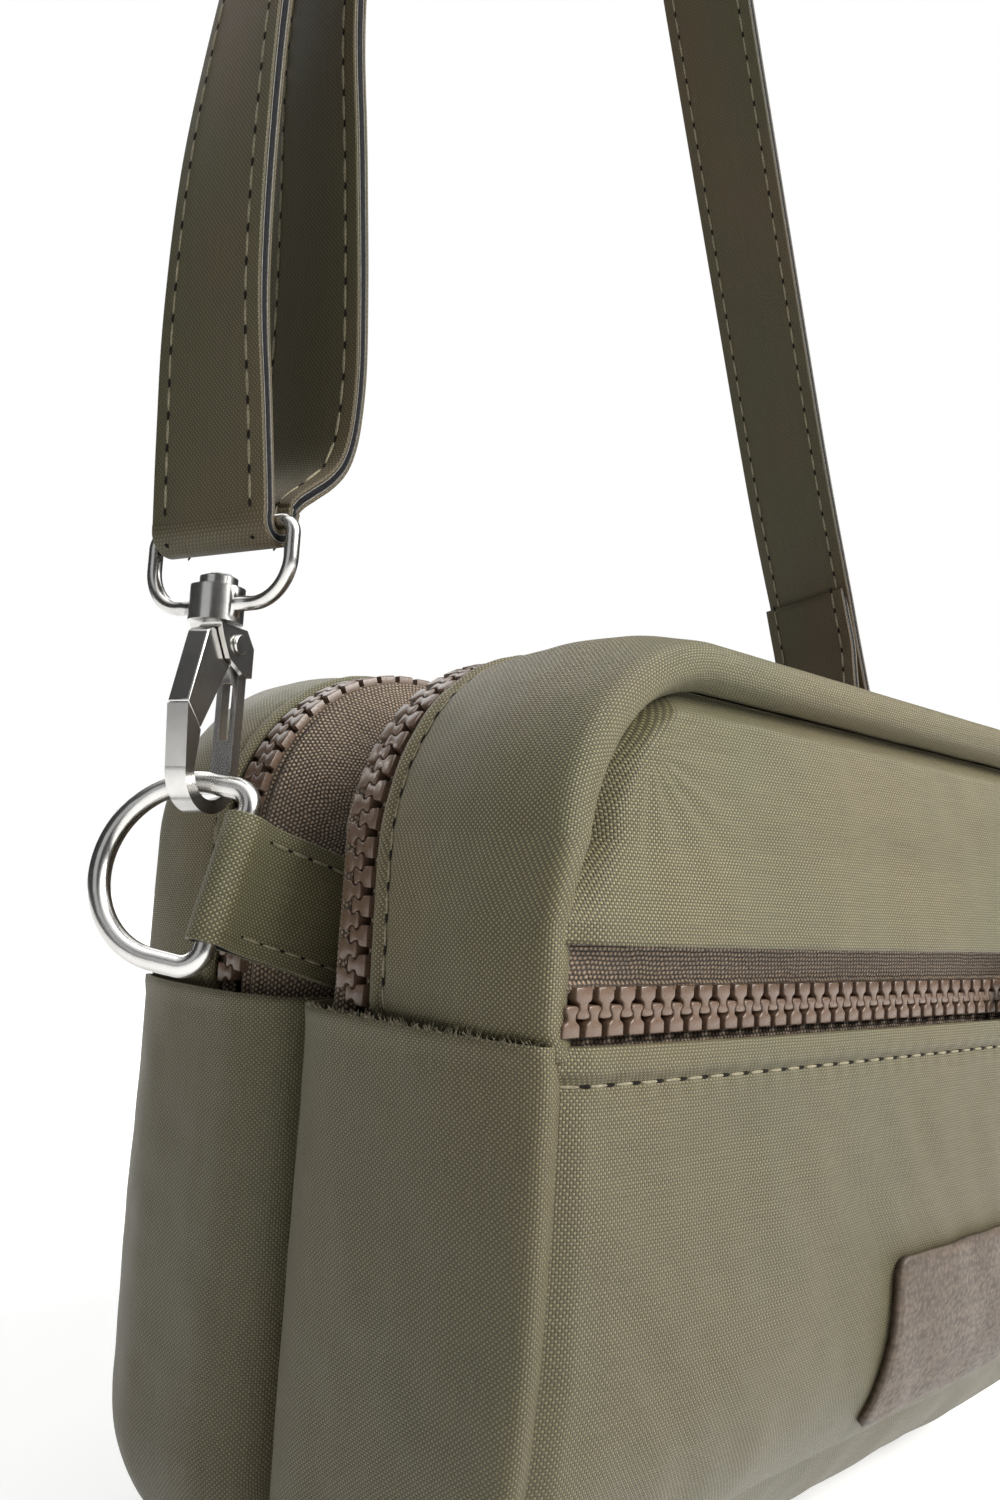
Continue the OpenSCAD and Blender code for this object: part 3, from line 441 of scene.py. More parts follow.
def lowerAt(s):
    if s > lowerLength / 2:
        x, z, nx, nz = lowerAt(lowerLength - s)
        return -x, z, -nx, nz
    if s <= lowerLeg:
        return -halfWidth, lowerTop - s, -1.0, 0.0
    s -= lowerLeg
    if s <= quarterLow:
        a = math.pi + s / baseRadius
        return -lowX + baseRadius * math.cos(a), lowZ + baseRadius * math.sin(a), math.cos(a), math.sin(a)
    return -lowX + s - quarterLow, baseLift, 0.0, -1.0


def footFront(z):
    return bag["footRecess"] * held(1 - z / seam) ** 5


def footRear(z):
    return bag["footTuck"] * held(1 - z / 30.0) ** 2


def slid(y, z):
    front = held(y / frontY)
    rear = held((y - 26) / (rearY - 26))
    return y + footFront(z) * front - footRear(z) * rear


def soft(x, y, z, scale, seed=0.0):
    return noise.noise(Vector((x / scale + seed, y / scale - seed, z / scale + 2 * seed)))


# ---- smooth lines through a few points
def splineSpans(points, steps):
    line = []
    for a, b, c, d in zip(points, points[1:], points[2:], points[3:]):
        for k in range(steps):
            t = k / steps
            line.append(tuple(
                0.5 * (2 * q + (r - p) * t + (2 * p - 5 * q + 4 * r - w) * t * t + (3 * q - p - 3 * r + w) * t**3)
                for p, q, r, w in zip(a, b, c, d)
            ))
    return line


def throughPoints(points, steps=6):
    return splineSpans([points[0], *points, points[-1]], steps) + [tuple(points[-1])]


def lengthsOf(line, size=2):
    total = [0.0]
    for a, b in zip(line, line[1:]):
        total.append(total[-1] + math.dist(a[:size], b[:size]))
    return total


def pointOn(line, total, share):
    want = held(share) * total[-1]
    i = min(max(bisect.bisect_right(total, want) - 1, 0), len(line) - 2)
    span = total[i + 1] - total[i]
    t = (want - total[i]) / span if span > 1e-9 else 0.0
    return tuple(blendOf(a, b, t) for a, b in zip(line[i], line[i + 1])), want


# ---- making pieces
def keepPiece(name, mesh, finishName, body, replaced=()):
    piece = bpy.data.objects.new(name, mesh)
    bpy.context.scene.collection.objects.link(piece)
    piece.data.materials.append(finishes[finishName])
    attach(piece, body)
    if replaced:
        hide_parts(*replaced)
    return piece


def meshOf(name, shape, smooth=False):
    for face in shape.faces:
        face.smooth = smooth
    mesh = bpy.data.meshes.new(name)
    shape.to_mesh(mesh)
    shape.free()
    return mesh


def clothSheet(name, along, across, pointAt, facing):
    sheet = bmesh.new()
    bmesh.ops.create_grid(sheet, x_segments=along, y_segments=across, size=0.5)
    cloth = sheet.loops.layers.uv.new("cloth")
    places = {}
    for vertex in sheet.verts:
        place, places[vertex] = pointAt(held(vertex.co.x + 0.5), held(vertex.co.y + 0.5))
        vertex.co = Vector(place) * mm
    for face in sheet.faces:
        for loop in face.loops:
            loop[cloth].uv = (places[loop.vert][0] * mm, places[loop.vert][1] * mm)
    sheet.normal_update()
    if sum(f.normal.dot(Vector(facing)) * f.calc_area() for f in sheet.faces) < 0:
        bmesh.ops.reverse_faces(sheet, faces=sheet.faces)
    return meshOf(name, sheet, True)


def keepCloth(name, mesh, node, wall, finishName="canvas"):
    piece = keepPiece(name, mesh, finishName, "bag", [node])
    layer = piece.modifiers.new("cloth", "SOLIDIFY")
    layer.thickness = wall * mm
    layer.offset = -1.0


def sweptSheet(name, along, across, walk, span, section, facing, ease=None):
    cache = {}

    def pointAt(u, v):
        s = blendOf(span[0], span[1], u)
        if u not in cache:
            line = throughPoints(section(s))
            cache[u] = (walk(s), line, lengthsOf(line))
        (x, z, nx, nz), line, total = cache[u]
        (y, n), run = pointOn(line, total, v)
        if ease:
            n += ease(s, y, x, z)
        return (x + nx * n, slid(y, z), z + nz * n), (s, run)

    return clothSheet(name, along, across, pointAt, facing)


# ---- stitches: short threads that dive into the cloth, with a near-black blob of painted shade where they do
def stitchRow(name, line, outward, pitch, share, radius, body="bag"):
    total = lengthsOf(line, 3)
    count = max(1, int(total[-1] / pitch))
    threads, dark = bmesh.new(), bmesh.new()
    for i in range(count):
        a, b, holeShade = (Vector(pointOn(line, total, (i + k) / count)[0]) for k in (0.5 - share / 2, 0.5 + share / 2, 1.0))
        n = Vector(pointOn(outward, list(range(len(outward))), (i + 0.5) / count)[0]).normalized()
        run = (b - a).normalized()
        side = n.cross(run).normalized()
        turn = turnTo(run, side, run.cross(side))
        length = Matrix.Diagonal(((b - a).length / 2, radius, radius * 0.8, 1)) @ Matrix.Rotation(math.pi / 2, 4, "Y")
        dent = Matrix.Diagonal(((1 - share) * pitch * 0.75, radius * 1.25, radius * 0.4, 1))
        # the second shape is a flat near-black blob, painted shade of the dip where the thread dives in
        for shape, place, size in (
            (threads, (a + b) / 2 + n * radius * 0.25, length),
            (dark, holeShade - n * radius * 0.1, dent),
        ):
            bmesh.ops.create_uvsphere(
                shape, u_segments=8, v_segments=6, radius=1.0,
                matrix=Matrix.Scale(mm, 4) @ Matrix.Translation(place) @ turn @ size,
            )
    for shape, kind, finishName in ((threads, "", "thread"), (dark, "_holeShades", "holeShade")):
        keepPiece(name + kind, meshOf(name + kind, shape, True), finishName, body)


# ---- gussets: bands that run round the outline
hemSet = dict(stitchPitch=4.2, stitchShare=0.72, stitchRadius=0.22, groove=7.1, crown=0.9, tuck=2.2)


def weltShare(z):
    return held((z - seam - bag["weltStart"]) / bag["weltGrowth"])


# the upper strip dives under the lower one at the cross seam, whose lip stands up
def seamSink(s):
    return -1.3 * eased((1.5 - min(s, upperLength - s)) / 2.5)


def seamLip(s):
    return 0.35 * eased((3.2 - min(s, lowerLength - s)) / 2.4)


def hemPoints(zipY, way):
    groove = zipY + way * hemSet["groove"]
    inner = zipY + way * bag["chainHalf"]
    crown = hemSet["crown"]
    roll = [(3.1, crown), (2.2, crown - 0.05), (1.55, 0.35), (1.3, -0.25), (1.6, -0.7), (4.5, -0.8)]
    stitched = [(groove + way * 0.6, 0.5), (groove, 0.05), (groove - way * 0.5, 0.5)]
    return stitched + [(inner + way * y, n) for y, n in roll]


def frontTopSection(s):
    t = weltShare(upperAt(s)[1])
    flat = [(0.6, -4.0), (-0.05, -2.2), (-0.05, -1.0), (0.7, -0.05)]
    roll = [(2.4, -welt - 0.6), (-0.9, -4.9), (-1.5, -2.6), (-0.5, -0.5)]
    edge = [(frontY + blendOf(a[0], b[0], t), blendOf(a[1], b[1], t)) for a, b in zip(flat, roll)]
    body = [(frontY + 2.6, 0.55), (frontY + 10, 1.5), (frontY + 19, 1.5), (frontZip - 9.2, 0.95)]
    return [(y, n + seamSink(s)) for y, n in edge + body + hemPoints(frontZip, -1)]


def rearTopSection(s):
    edge = [(rearY - 11, 1.4), (rearY - 4, 1.0), (rearY - 1.0, 0.1), (rearY, -1.6), (rearY - 0.4, -3.6)]
    return [(y, n + seamSink(s)) for y, n in hemPoints(rearZip, 1)[::-1] + [(rearZip + 9.5, 0.9)] + edge]


def topEase(seed, edgeY):
    def lift(s, y, x, z):
        pucker = 0.10 * math.sin(2 * math.pi * s / hemSet["stitchPitch"])
        near = hump(y - (frontZip - hemSet["groove"]), 1.3) + hump(y - (rearZip + hemSet["groove"]), 1.3)
        loose = 0.45 * soft(x, y, z, 17.0, seed) + 0.16 * soft(x, y, z, 6.0, seed + 3)
        return loose * held(abs(y - edgeY) / 6.0) - pucker * near

    return lift


def frontBaseSection(s):
    f = held((12 - lowerAt(s)[1]) / 9.0)
    points = [
        (frontY + 0.9, -4.0), (frontY, -1.7), (frontY + 0.45, -0.3), (frontY + 2.4, 0.75), (frontY + 6, 1.6),
        (frontY + 15, 2.6), (-24, 3.0), (-10, blendOf(2.8, 3.0, f)), (blendOf(-3, 0.6, f), blendOf(1.5, 3.0, f)),
        (blendOf(2.4, 3.2, f), blendOf(-1.8, 0.4, f)), (4.5, -6), (5.3, -13),
    ]
    return [(y, n + seamLip(s)) for y, n in points]


def rearBaseSection(s):
    points = [
        (5.7, -13), (6.5, -6), (8.6, -1.6), (13, 1.4), (19, 2.9), (33, 3.0),
        (rearY - 5, 1.5), (rearY - 0.4, -0.3), (rearY, -1.7), (rearY - 0.9, -4.0),
    ]
    return [(y, n + seamLip(s)) for y, n in points]


def baseEase(seed):
    def lift(s, y, x, z):
        fade = eased(min(s, lowerLength - s) / 9.0) * 0.75 + 0.25
        standing = 0.35 + 0.65 * eased((z - 4.0) / 10.0)
        folds = 0.55 * soft(x, y, z * 0.35, 13.0, seed) + 0.20 * soft(x, y, z, 6.5, seed + 2)
        return folds * fade * standing

    return lift


topEases = dict(front=topEase(1.3, frontY), rear=topEase(7.1, rearY))


def makeGussets():
    top, base = (-hemSet["tuck"], upperLength + hemSet["tuck"]), (0.0, lowerLength)
    for name, node, along, across, walk, span, section, up, ease, wall in (
        ("frontTopGusset", "front_top_gusset", 330, 64, upperAt, top, frontTopSection, 1, topEases["front"], 0.9),
        ("rearTopGusset", "rear_top_gusset", 330, 54, upperAt, top, rearTopSection, 1, topEases["rear"], 0.9),
        ("frontBaseGusset", "front_base_gusset", 300, 64, lowerAt, base, frontBaseSection, -1, baseEase(2.2), 1.2),
        ("rearBaseGusset", "rear_base_gusset", 300, 54, lowerAt, base, rearBaseSection, -1, baseEase(4.6), 1.2),
    ):
        keepCloth(name, sweptSheet(name, along, across, walk, span, section, (0, 0, up), ease), node, wall)


def makeHemStitches(steps=260):
    pitch, share, radius = (hemSet[k] for k in ("stitchPitch", "stitchShare", "stitchRadius"))
    for side, groove in (("front", frontZip - hemSet["groove"]), ("rear", rearZip + hemSet["groove"])):
        line, outward = [], []
        for i in range(steps + 1):
            s = upperLength * i / steps
            x, z, nx, nz = upperAt(s)
            n = 0.28 + topEases[side](s, groove, x, z) + seamSink(s)
            line.append((x + nx * n, groove, z + nz * n))
            outward.append((nx, 0.0, nz))
        stitchRow(side + "HemStitch", line, outward, pitch, share, radius)


# ---- quilted panels
def halfAt(z, inset):
    if z > arcZ:
        return arcX + math.sqrt(max(0.0, (topRadius - inset) ** 2 - (z - arcZ) ** 2))
    if z < lowZ:
        return lowX + math.sqrt(max(0.0, (baseRadius - inset) ** 2 - (lowZ - z) ** 2))
    return halfWidth - inset


# columns stand closer together toward both ends
def columnShare(u, reach=0.96):
    return math.sin(math.pi / 2 * (2 * u - 1) * reach) / math.sin(math.pi / 2 * reach)


def pillow(u, v):
    return max(0.0, 1 - abs(u) ** 3) ** 0.7 * max(0.0, 1 - abs(v) ** 2.4) ** 0.7


def pocketY(u, z):
    drop = seam - z
    swell = pillow(u, held((drop - 36) / 30.0)) * (1 - 0.55 * held((26 - drop) / 26.0))
    return frontY + footFront(z) - bag["bulge"] * swell


pocketSet = dict(
    inset=2.1,
    hemHeight=4.7,  # of the folded top edge, down to its stitches
    hemProud=0.95,
    stitchPitch=4.4,
)


def pocketSurface(x, z):
    half = halfAt(z, pocketSet["inset"])
    u = held(x / max(half, 1.0), -1.0, 1.0)
    y = pocketY(u, z)
    drop = lowerTop - z
    stitch = pocketSet["hemHeight"]
    y -= pocketSet["hemProud"] * math.sqrt(held(drop / 1.6)) * (1 - eased((drop - stitch + 1.9) / 1.8))
    y += 0.35 * hump(drop - stitch, 0.55)
    gather = 0.10 * math.sin(2 * math.pi * x / pocketSet["stitchPitch"]) * hump(drop - stitch, 2.2)
    inward = half - abs(x)
    y += 1.5 * (1 - eased(inward / 5.0))
    loose = 0.75 * soft(x, z * 0.8, 3.0, 24.0, 2.0) + 0.28 * soft(x, z * 0.6, 9.0, 8.5, 5.0)
    drag = 0.35 * soft((x + z * 0.7) * 1.6, (z - x * 0.7) * 0.4, 5.0, 12.0, 8.0)
    fade = eased(inward / 9.0) * eased((drop - stitch) / 9.0 + 0.15)
    return y + gather + (loose + drag) * fade


def panelSheet(name, across, up, inset, zFoot, zTop, surface, facing):
    def pointAt(u, v):
        z = blendOf(zFoot, zTop, 0.5 - 0.5 * math.cos(math.pi * blendOf(0.04, 0.96, v)) / math.cos(math.pi * 0.04))
        z = held(z, zFoot, zTop)
        x = halfAt(z, inset) * columnShare(u)
        return (x, surface(x, z), z), (x, z)

    return clothSheet(name, across, up, pointAt, facing)


def frontUpperSurface(x, z):
    inset = blendOf(2.1, welt + 0.5, weltShare(z))
    half = halfAt(z, inset)
    u = held(x / max(half, 1.0), -1.0, 1.0)
    side = max(0.0, 1 - abs(u) ** 3) ** 0.7
    crown = max(0.0, 1 - held((z - arcZ) / 24.0) ** 2) ** 0.8
    t = weltShare(z)
    y = frontY + 0.6 * t - 0.9 * (1 - t) - bag["bulge"] * side * crown
    inward = half - abs(x)
    topGap = arcZ + topRadius - welt - 0.5 - z
    edge = min(inward, topGap * 1.2)
    y += blendOf(1.2, 3.8, t) * (1 - eased(edge / 5.5))
    loose = 0.8 * soft(x, z, 1.0, 21.0, 3.3) + 0.25 * soft(x, z, 4.0, 7.5, 6.0)
    corner = math.hypot(abs(x) - (arcX + 12), z - (arcZ + 12))
    angle = math.atan2(z - (arcZ + 14), abs(x) - (arcX + 14))
    rays = 0.12 * math.sin(angle * 15.0 + 0.6 * math.sin(angle * 5)) * hump(corner - 6, 13.0)
    return y + (loose + rays) * eased(edge / 8.0)


def rearSurface(x, z):
    half = halfAt(z, bag["rearEdge"])
    u = held(x / max(half, 1.0), -1.0, 1.0)
    y = rearY - footRear(z) + 3.0 * pillow(u, (z - bagHeight / 2 - 3) / (bagHeight / 2 + 1))
    inward = min(half - abs(x), bagHeight - 2 - z, z - baseLift - 2)
    loose = 0.9 * soft(x, z, 8.0, 24.0, 4.4) + 0.3 * soft(x, z, 1.0, 8.0, 9.0)
    return y - 0.9 * (1 - eased(inward / 4.0)) + loose * eased(inward / 10.0)


def makePanels():
    low = lowZ - (baseRadius - 2.3)
    mesh = panelSheet("pocketPanel", 220, 150, pocketSet["inset"], low, lowerTop, pocketSurface, (0, -1, 0))
    keepCloth("pocketPanel", mesh, "pocket_panel", 1.4)

    def frontPoint(u, v):
        z = blendOf(seam + 11.5, arcZ + topRadius - welt - 0.4, math.sin(math.pi / 2 * v) ** 0.9)
        x = halfAt(z, blendOf(1.6, welt - 0.9, weltShare(z))) * columnShare(u)
        return (x, frontUpperSurface(x, z), z), (x, z)

    mesh = clothSheet("frontPanel", 220, 110, frontPoint, (0, -1, 0))
    keepCloth("frontPanel", mesh, "front_panel", 0.9)
    edge = bag["rearEdge"]
    rearTop = bagHeight - edge
    mesh = panelSheet("rearPanel", 200, 190, edge, baseLift + edge, rearTop, rearSurface, (0, 1, 0))
    keepCloth("rearPanel", mesh, "rear_panel", 1.2)

    def pocketBack(x, z):
        return frontY + footFront(z) + 4.4 + 0.3 * soft(x, z, 2.0, 18.0, 1.0)

    def innerWall(away):
        return lambda x, z: valleyY + away + 0.3 * soft(x, z, 5.0, 20.0, 2.0)

    for name, node, surface, way, inset in (
        ("pocketBackWall", "pocket_back_wall", pocketBack, -1, welt + 2.0),
        ("frontInnerWall", "front_inner_wall", innerWall(-1.1), 1, 13.3),
        ("rearInnerWall", "rear_inner_wall", innerWall(1.1), -1, 13.3),
    ):
        foot, top = lowZ - (baseRadius - inset), arcZ + topRadius - inset
        mesh = panelSheet(name, 60, 50, inset, foot, top, surface, (0, way, 0))
        keepCloth(name, mesh, node, 0.5, "lining")

    line, outward = [], []
    z = lowerTop - pocketSet["hemHeight"]
    reach = halfWidth - pocketSet["inset"] - 0.6
    for i in range(221):
        x = blendOf(-reach, reach, i / 220)
        line.append((x, pocketSurface(x, z) - 0.08, z))
        outward.append((0.0, -1.0, 0.0))
    stitchRow("pocketHemStitch", line, outward, pocketSet["stitchPitch"], 0.7, 0.24)


# ---- zip tapes
def tapeSections():
    n = -bag["zipSink"] - bag["toothThick"] / 2 + 0.5
    cord = [(1.2, -0.15), (1.75, 0.1), (2.15, 0.85), (2.7, 0.95), (3.2, 0.55), (3.6, 0.15)]
    flat = [(4.6, 0.05), (6.4, 0.0), (8.3, 0.0)]
    slope = [(4.3, 0.55), (5.2, 0.45), (6.0, -0.35), (7.6, -1.5), (10.0, -4.0), (12.3, -9.5 - n)]

    def side(zipY, way, more):
        return [(zipY + way * y, n + rise) for y, rise in cord + more]

    return dict(
        front_tape_outer=side(frontZip, -1, flat)[::-1],
        front_tape_inner=side(frontZip, 1, slope) + [(valleyY - 1.6, -13)],
        rear_tape_inner=[(valleyY + 1.6, -13)] + side(rearZip, -1, slope)[::-1],
        rear_tape_outer=side(rearZip, 1, flat),
    )


def makeTapes():
    span = (-1.6, upperLength + 1.6)
    for node, section in tapeSections().items():
        row, _, side = node.split("_")
        inner = side == "inner"

        def ease(s, y, x, z, seed=2.0 if row == "front" else 6.0):
            deep = eased((abs(y - valleyY) - 10.5) / -6.0)
            return (1.1 * soft(s * 1.5, y, 3.0, 11.0, seed) + 0.5 * soft(s * 2.2, y * 1.5, 1.0, 5.0, 4.0)) * deep

        mesh = sweptSheet(
            node, 260, 48 if inner else 22, upperAt, span, lambda s, q=section: q, (0, 0, 1), ease if inner else None
        )
        name = row + "Tape" + side.title()
        keepCloth(name, mesh, node, 0.7, "tape")
    y = frontY + 0.9
    reach = halfWidth - 2.3
    for name, node, way, far, deep in (
        ("pocketTapeUpper", "pocket_tape_upper", 1, 12.2, 0.5),
        ("pocketTapeLower", "pocket_tape_lower", -1, 9.6, 1.1),
    ):

        def strip(u, v, way=way, far=far, deep=deep):
            x = blendOf(-reach, reach, u)
            off = blendOf(1.4, far, v)
            z = bag["pocketZip"] + way * off
            ahead = hump(off - 2.6, 0.6)
            if way > 0:
                ahead += 0.55 * math.sin(math.pi * held((off - 3.6) / (far - 3.6)))
                ahead += 1.9 * max(0.0, 1 - abs(x / reach) ** 3) ** 0.7 * held((z - seam - 6) / 8.0)
            return (x, y + deep - ahead + 0.12 * soft(x, z, 0.0, 9.0, 1.0), z), (x, z)

        mesh = clothSheet(name, 200, 36, strip, (0, -1, 0))
        keepCloth(name, mesh, node, 0.5, "tape")


# ---- moulded teeth: one tooth, stamped along both sides of each zip
toothSet = dict(
    # half of the outline: along the chain, across it from the tip to the cord
    line=[
        (0.30, -0.80), (0.75, -0.76), (1.02, -0.62), (1.12, -0.42), (1.06, -0.20), (0.90, 0.0), (0.74, 0.20),
        (0.66, 0.50), (0.68, 0.85), (0.84, 1.08), (1.26, 1.34), (1.42, 1.62), (1.45, 2.95),
    ],
    edge=0.2,
    mainTeeth=60,
    pocketTeeth=38,
    pocketPitch=4.0,
)


def toothMesh():
    half = bag["toothThick"] / 2
    line = toothSet["line"] + [(-a, b) for a, b in reversed(toothSet["line"])]
    shape = bmesh.new()
    bmesh.ops.create_circle(shape, cap_ends=True, segments=len(line), radius=1.0)
    for vertex, (a, b) in zip(shape.verts, line):
        vertex.co = Vector((a, b, -half)) * mm
    grown = bmesh.ops.extrude_face_region(shape, geom=shape.faces[:])["geom"]
    bmesh.ops.translate(shape, verts=[g for g in grown if isinstance(g, bmesh.types.BMVert)], vec=(0, 0, 2 * half * mm))
    bmesh.ops.recalc_face_normals(shape, faces=shape.faces)
    rims = [e for e in shape.edges if abs(e.verts[0].co.z - e.verts[1].co.z) < 1e-9]
    bmesh.ops.bevel(shape, geom=rims, offset=toothSet["edge"] * mm, segments=2, profile=0.5, affect="EDGES")
    return meshOf("oneTooth", shape, True)


def toothRow(name, node, stamp, places):
    row = bmesh.new()
    for centre, along, across, outward in places:
        first = len(row.verts)
        row.from_mesh(stamp)
        row.verts.ensure_lookup_table()
        turn = turnTo(along, across, outward)
        bmesh.ops.transform(row, matrix=Matrix.Translation(centre * mm) @ turn, verts=row.verts[first:])
    mesh = meshOf(name, row, True)
    mesh.set_sharp_from_angle(angle=math.radians(50))
    keepPiece(name, mesh, "teeth", "bag", [node])


def makeTeeth():
    stamp = toothMesh()
    pitch = upperLength / toothSet["mainTeeth"]
    for row, zipY, way in (("front", frontZip, 1), ("rear", rearZip, -1)):
        for side in ("outer", "inner"):
            hand = -way if side == "outer" else way
            shift = 0.5 if side == "outer" else 1.0
            places = []
            for i in range(toothSet["mainTeeth"] - (side == "inner")):
                x, z, nx, nz = upperAt((i + shift) * pitch)
                centre = Vector((x - nx * bag["zipSink"], zipY, z - nz * bag["zipSink"]))
                places.append((centre, Vector((nz, 0, -nx)) * hand, Vector((0, hand, 0)), Vector((nx, 0, nz))))
            toothRow(row + "Teeth" + side.title(), f"{row}_teeth_{side}", stamp, places)
    for side, hand, count in (("upper", 1, toothSet["pocketTeeth"]), ("lower", -1, toothSet["pocketTeeth"] + 1)):
        places = [
            (
                Vector(((i - (count - 1) / 2) * toothSet["pocketPitch"], frontY + 0.9, bag["pocketZip"])),
                Vector((hand, 0, 0)),
                Vector((0, 0, hand)),
                Vector((0, -1, 0)),
            )
            for i in range(count)
        ]
        toothRow("pocketTeeth" + side.title(), f"pocket_teeth_{side}", stamp, places)


# ---- rigid pieces: the construction's own solids, merged, with their edges broken
def bevelledCopy(name, node, finishName, body, width, angle=math.radians(32)):
    shape = bmesh.new()
    shape.from_mesh(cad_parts[node].data)
    bmesh.ops.remove_doubles(shape, verts=shape.verts, dist=0.002 * mm)
    bmesh.ops.dissolve_limit(
        shape, angle_limit=math.radians(0.5), verts=shape.verts, edges=shape.edges, delimit=set()
    )
    mesh = meshOf(name, shape, True)
    mesh.set_sharp_from_angle(angle=angle)
    piece = keepPiece(name, mesh, finishName, body, [node])
    if width:
        edge = piece.modifiers.new("edges", "BEVEL")
        edge.width = width * mm
        edge.segments = 3
        edge.limit_method = "ANGLE"
        edge.angle_limit = angle
        edge.use_clamp_overlap = True


# each is at both ends of the bag, and moves with its own body if no other is named
hardware = dict(
    ring=dict(node="ring", width=0),
    hook=dict(node="hook", width=0.7),
    rivet=dict(node="gate_rivet", body="hook", width=0.18),
    spring=dict(node="gate_spring", body="hook", width=0),
    gate=dict(node="gate", width=0.7),
    eye=dict(node="eye", body="strap", width=0),
)
edgeWidth = 0.3


def makeHardware():
    for kind, item in hardware.items():
        for side in ("left", "right"):
            body = item.get("body", item["node"])
            body = body if body == "strap" else f"{body}_{side}"
            bevelledCopy(kind + side.title(), f"{item['node']}_{side}", "nickel", body, item["width"])
    bevelledCopy("adjusterAdjuster", "strap_adjuster", "nickel", "strap", edgeWidth)
    for row in ("front", "rear", "pocket"):
        bevelledCopy(row + "Slider", row + "_slider", "slider", row + "_slider", edgeWidth)
        bevelledCopy(row + "Pull", row + "_pull", "nickel", row + "_pull", edgeWidth)


# ---- leather patch
patchSet = dict(left=-4.5, right=43.5, foot=26.7, head=53.7, lift=0.45, thick=1.2, corner=2.5)


def makePatch():
    left, right, foot, head, thick, r = (patchSet[k] for k in ("left", "right", "foot", "head", "thick", "corner"))

    def pointAt(u, v):
        x, z = left + (right - left) * u, foot + (head - foot) * v
        cx, cz = min(x - left, right - x), min(z - foot, head - z)
        if cx < r and cz < r:
            far = math.hypot(r - cx, r - cz)
            pull = r * (1 - max(r - cx, r - cz) / far) if far > 1e-6 else 0.0
            x += pull * (r - cx) / r * (1 if x < left + r else -1)
            z += pull * (r - cz) / r * (1 if z < foot + r else -1)
        rim = 0.3 * (1 - eased(min(cx, cz) / 1.2))
        return (x, pocketSurface(x, z) - patchSet["lift"] - thick + rim, z), (x, z)

    mesh = clothSheet("labelPatch", 90, 50, pointAt, (0, -1, 0))
    keepCloth("labelPatch", mesh, "label_patch", thick, "leather")


# ---- ribbons: a strap of layers along a line of stations (x, y, z, across, outward)
def ribbonSheet(name, stations, low, high, width, finishName, body, replaced=(), edgeRound=0.25, wave=0.0):
    runs = lengthsOf([tuple(s[0]) for s in stations], 3)
    rows = len(stations) - 1
    corner = min(edgeRound, (high - low) / 2)
    half = width / 2
    trim = corner * 0.3
    upper = [(0, high), (half * 0.5, high), (half - corner, high), (half - trim, high - trim), (half, high - corner)]
    lower = [(half, low + corner), (half - trim, low + trim), (half - corner, low), (half * 0.5, low), (0, low)]
    mirrored = [(-x, y) for x, y in reversed(upper[1:] + lower[:-1])]
    profile = mirrored[-2:] + upper + lower + mirrored[:-1]
    around = lengthsOf(profile)

    def pointAt(u, v):
        i = round(u * rows)
        j = round(v * (len(profile) - 1))
        place, across, outward = stations[i]
        a, b = profile[j]
        ripple = wave * soft(runs[i] * 0.6, a * 0.8, 0.0, 9.0, 3.0)
        return place + across * a + outward * (b + ripple), (runs[i], around[j])

    mesh = clothSheet(name, rows, len(profile) - 1, pointAt, (0, 0, 1))
    shape = bmesh.new()
    shape.from_mesh(mesh)
    bmesh.ops.remove_doubles(shape, verts=shape.verts, dist=0.001 * mm)
    rims = [e for e in shape.edges if e.is_boundary]
    bmesh.ops.holes_fill(shape, edges=rims, sides=0)
    bmesh.ops.recalc_face_normals(shape, faces=shape.faces)
    shape.to_mesh(mesh)
    shape.free()
    keepPiece(name, mesh, finishName, body, replaced)


def layeredStrap(stations, width, thick):
    face, lining = thick * 0.25, thick * 0.06
    for kind, low, high, wide, finishName, corner in (
        ("Outer", thick / 2 - face, thick / 2, width, "strapCanvas", 0.28),
        ("OuterBacking", thick / 2 - face - lining, thick / 2 - face + 0.01, width + 0.06, "backing", 0.05),
        ("Core", -thick / 2 + face + lining - 0.01, thick / 2 - face - lining + 0.01, width - 0.1, "core", 0.3),
        ("InnerBacking", -thick / 2 + face - 0.01, -thick / 2 + face + lining, width + 0.06, "backing", 0.05),
        ("Inner", -thick / 2, -thick / 2 + face, width, "strapCanvas", 0.28),
    ):
        replaced = ["strap_webbing"] if kind == "Outer" else ()
        ribbonSheet("strap" + kind, stations, low, high, wide, finishName, "strap", replaced, corner)


def strapStitches(stations, level):
    for side, hand in ((-1, "L"), (1, "R")):
        for way, face in ((-1, "B"), (1, "A")):
            line = [tuple(p + a * (side * strapSet["stitchInset"]) + n * (way * level)) for p, a, n in stations]
            outward = [tuple(n * way) for p, a, n in stations]
            stitchRow("strapStitch" + hand + face, line, outward, strapSet["stitchPitch"], 0.8, 0.26, "strap")


# ---- where the hooks hang, from the ring's own geometry
ringSet = dict(
    barX=-halfWidth - 11.3, barZ=seam + 16.3, tilt=15.5, radius=13.0, leg=7.0, wire=3.2, swing=(60.0, 70.0)
)
eyeSet = dict(bar=37.6, wire=2.2, leanSide=8.0, leanBack=9.0)
strapSet = dict(width=22.0, thick=2.4, apex=seam + 322.0, stitchInset=8.3, stitchPitch=5.0)


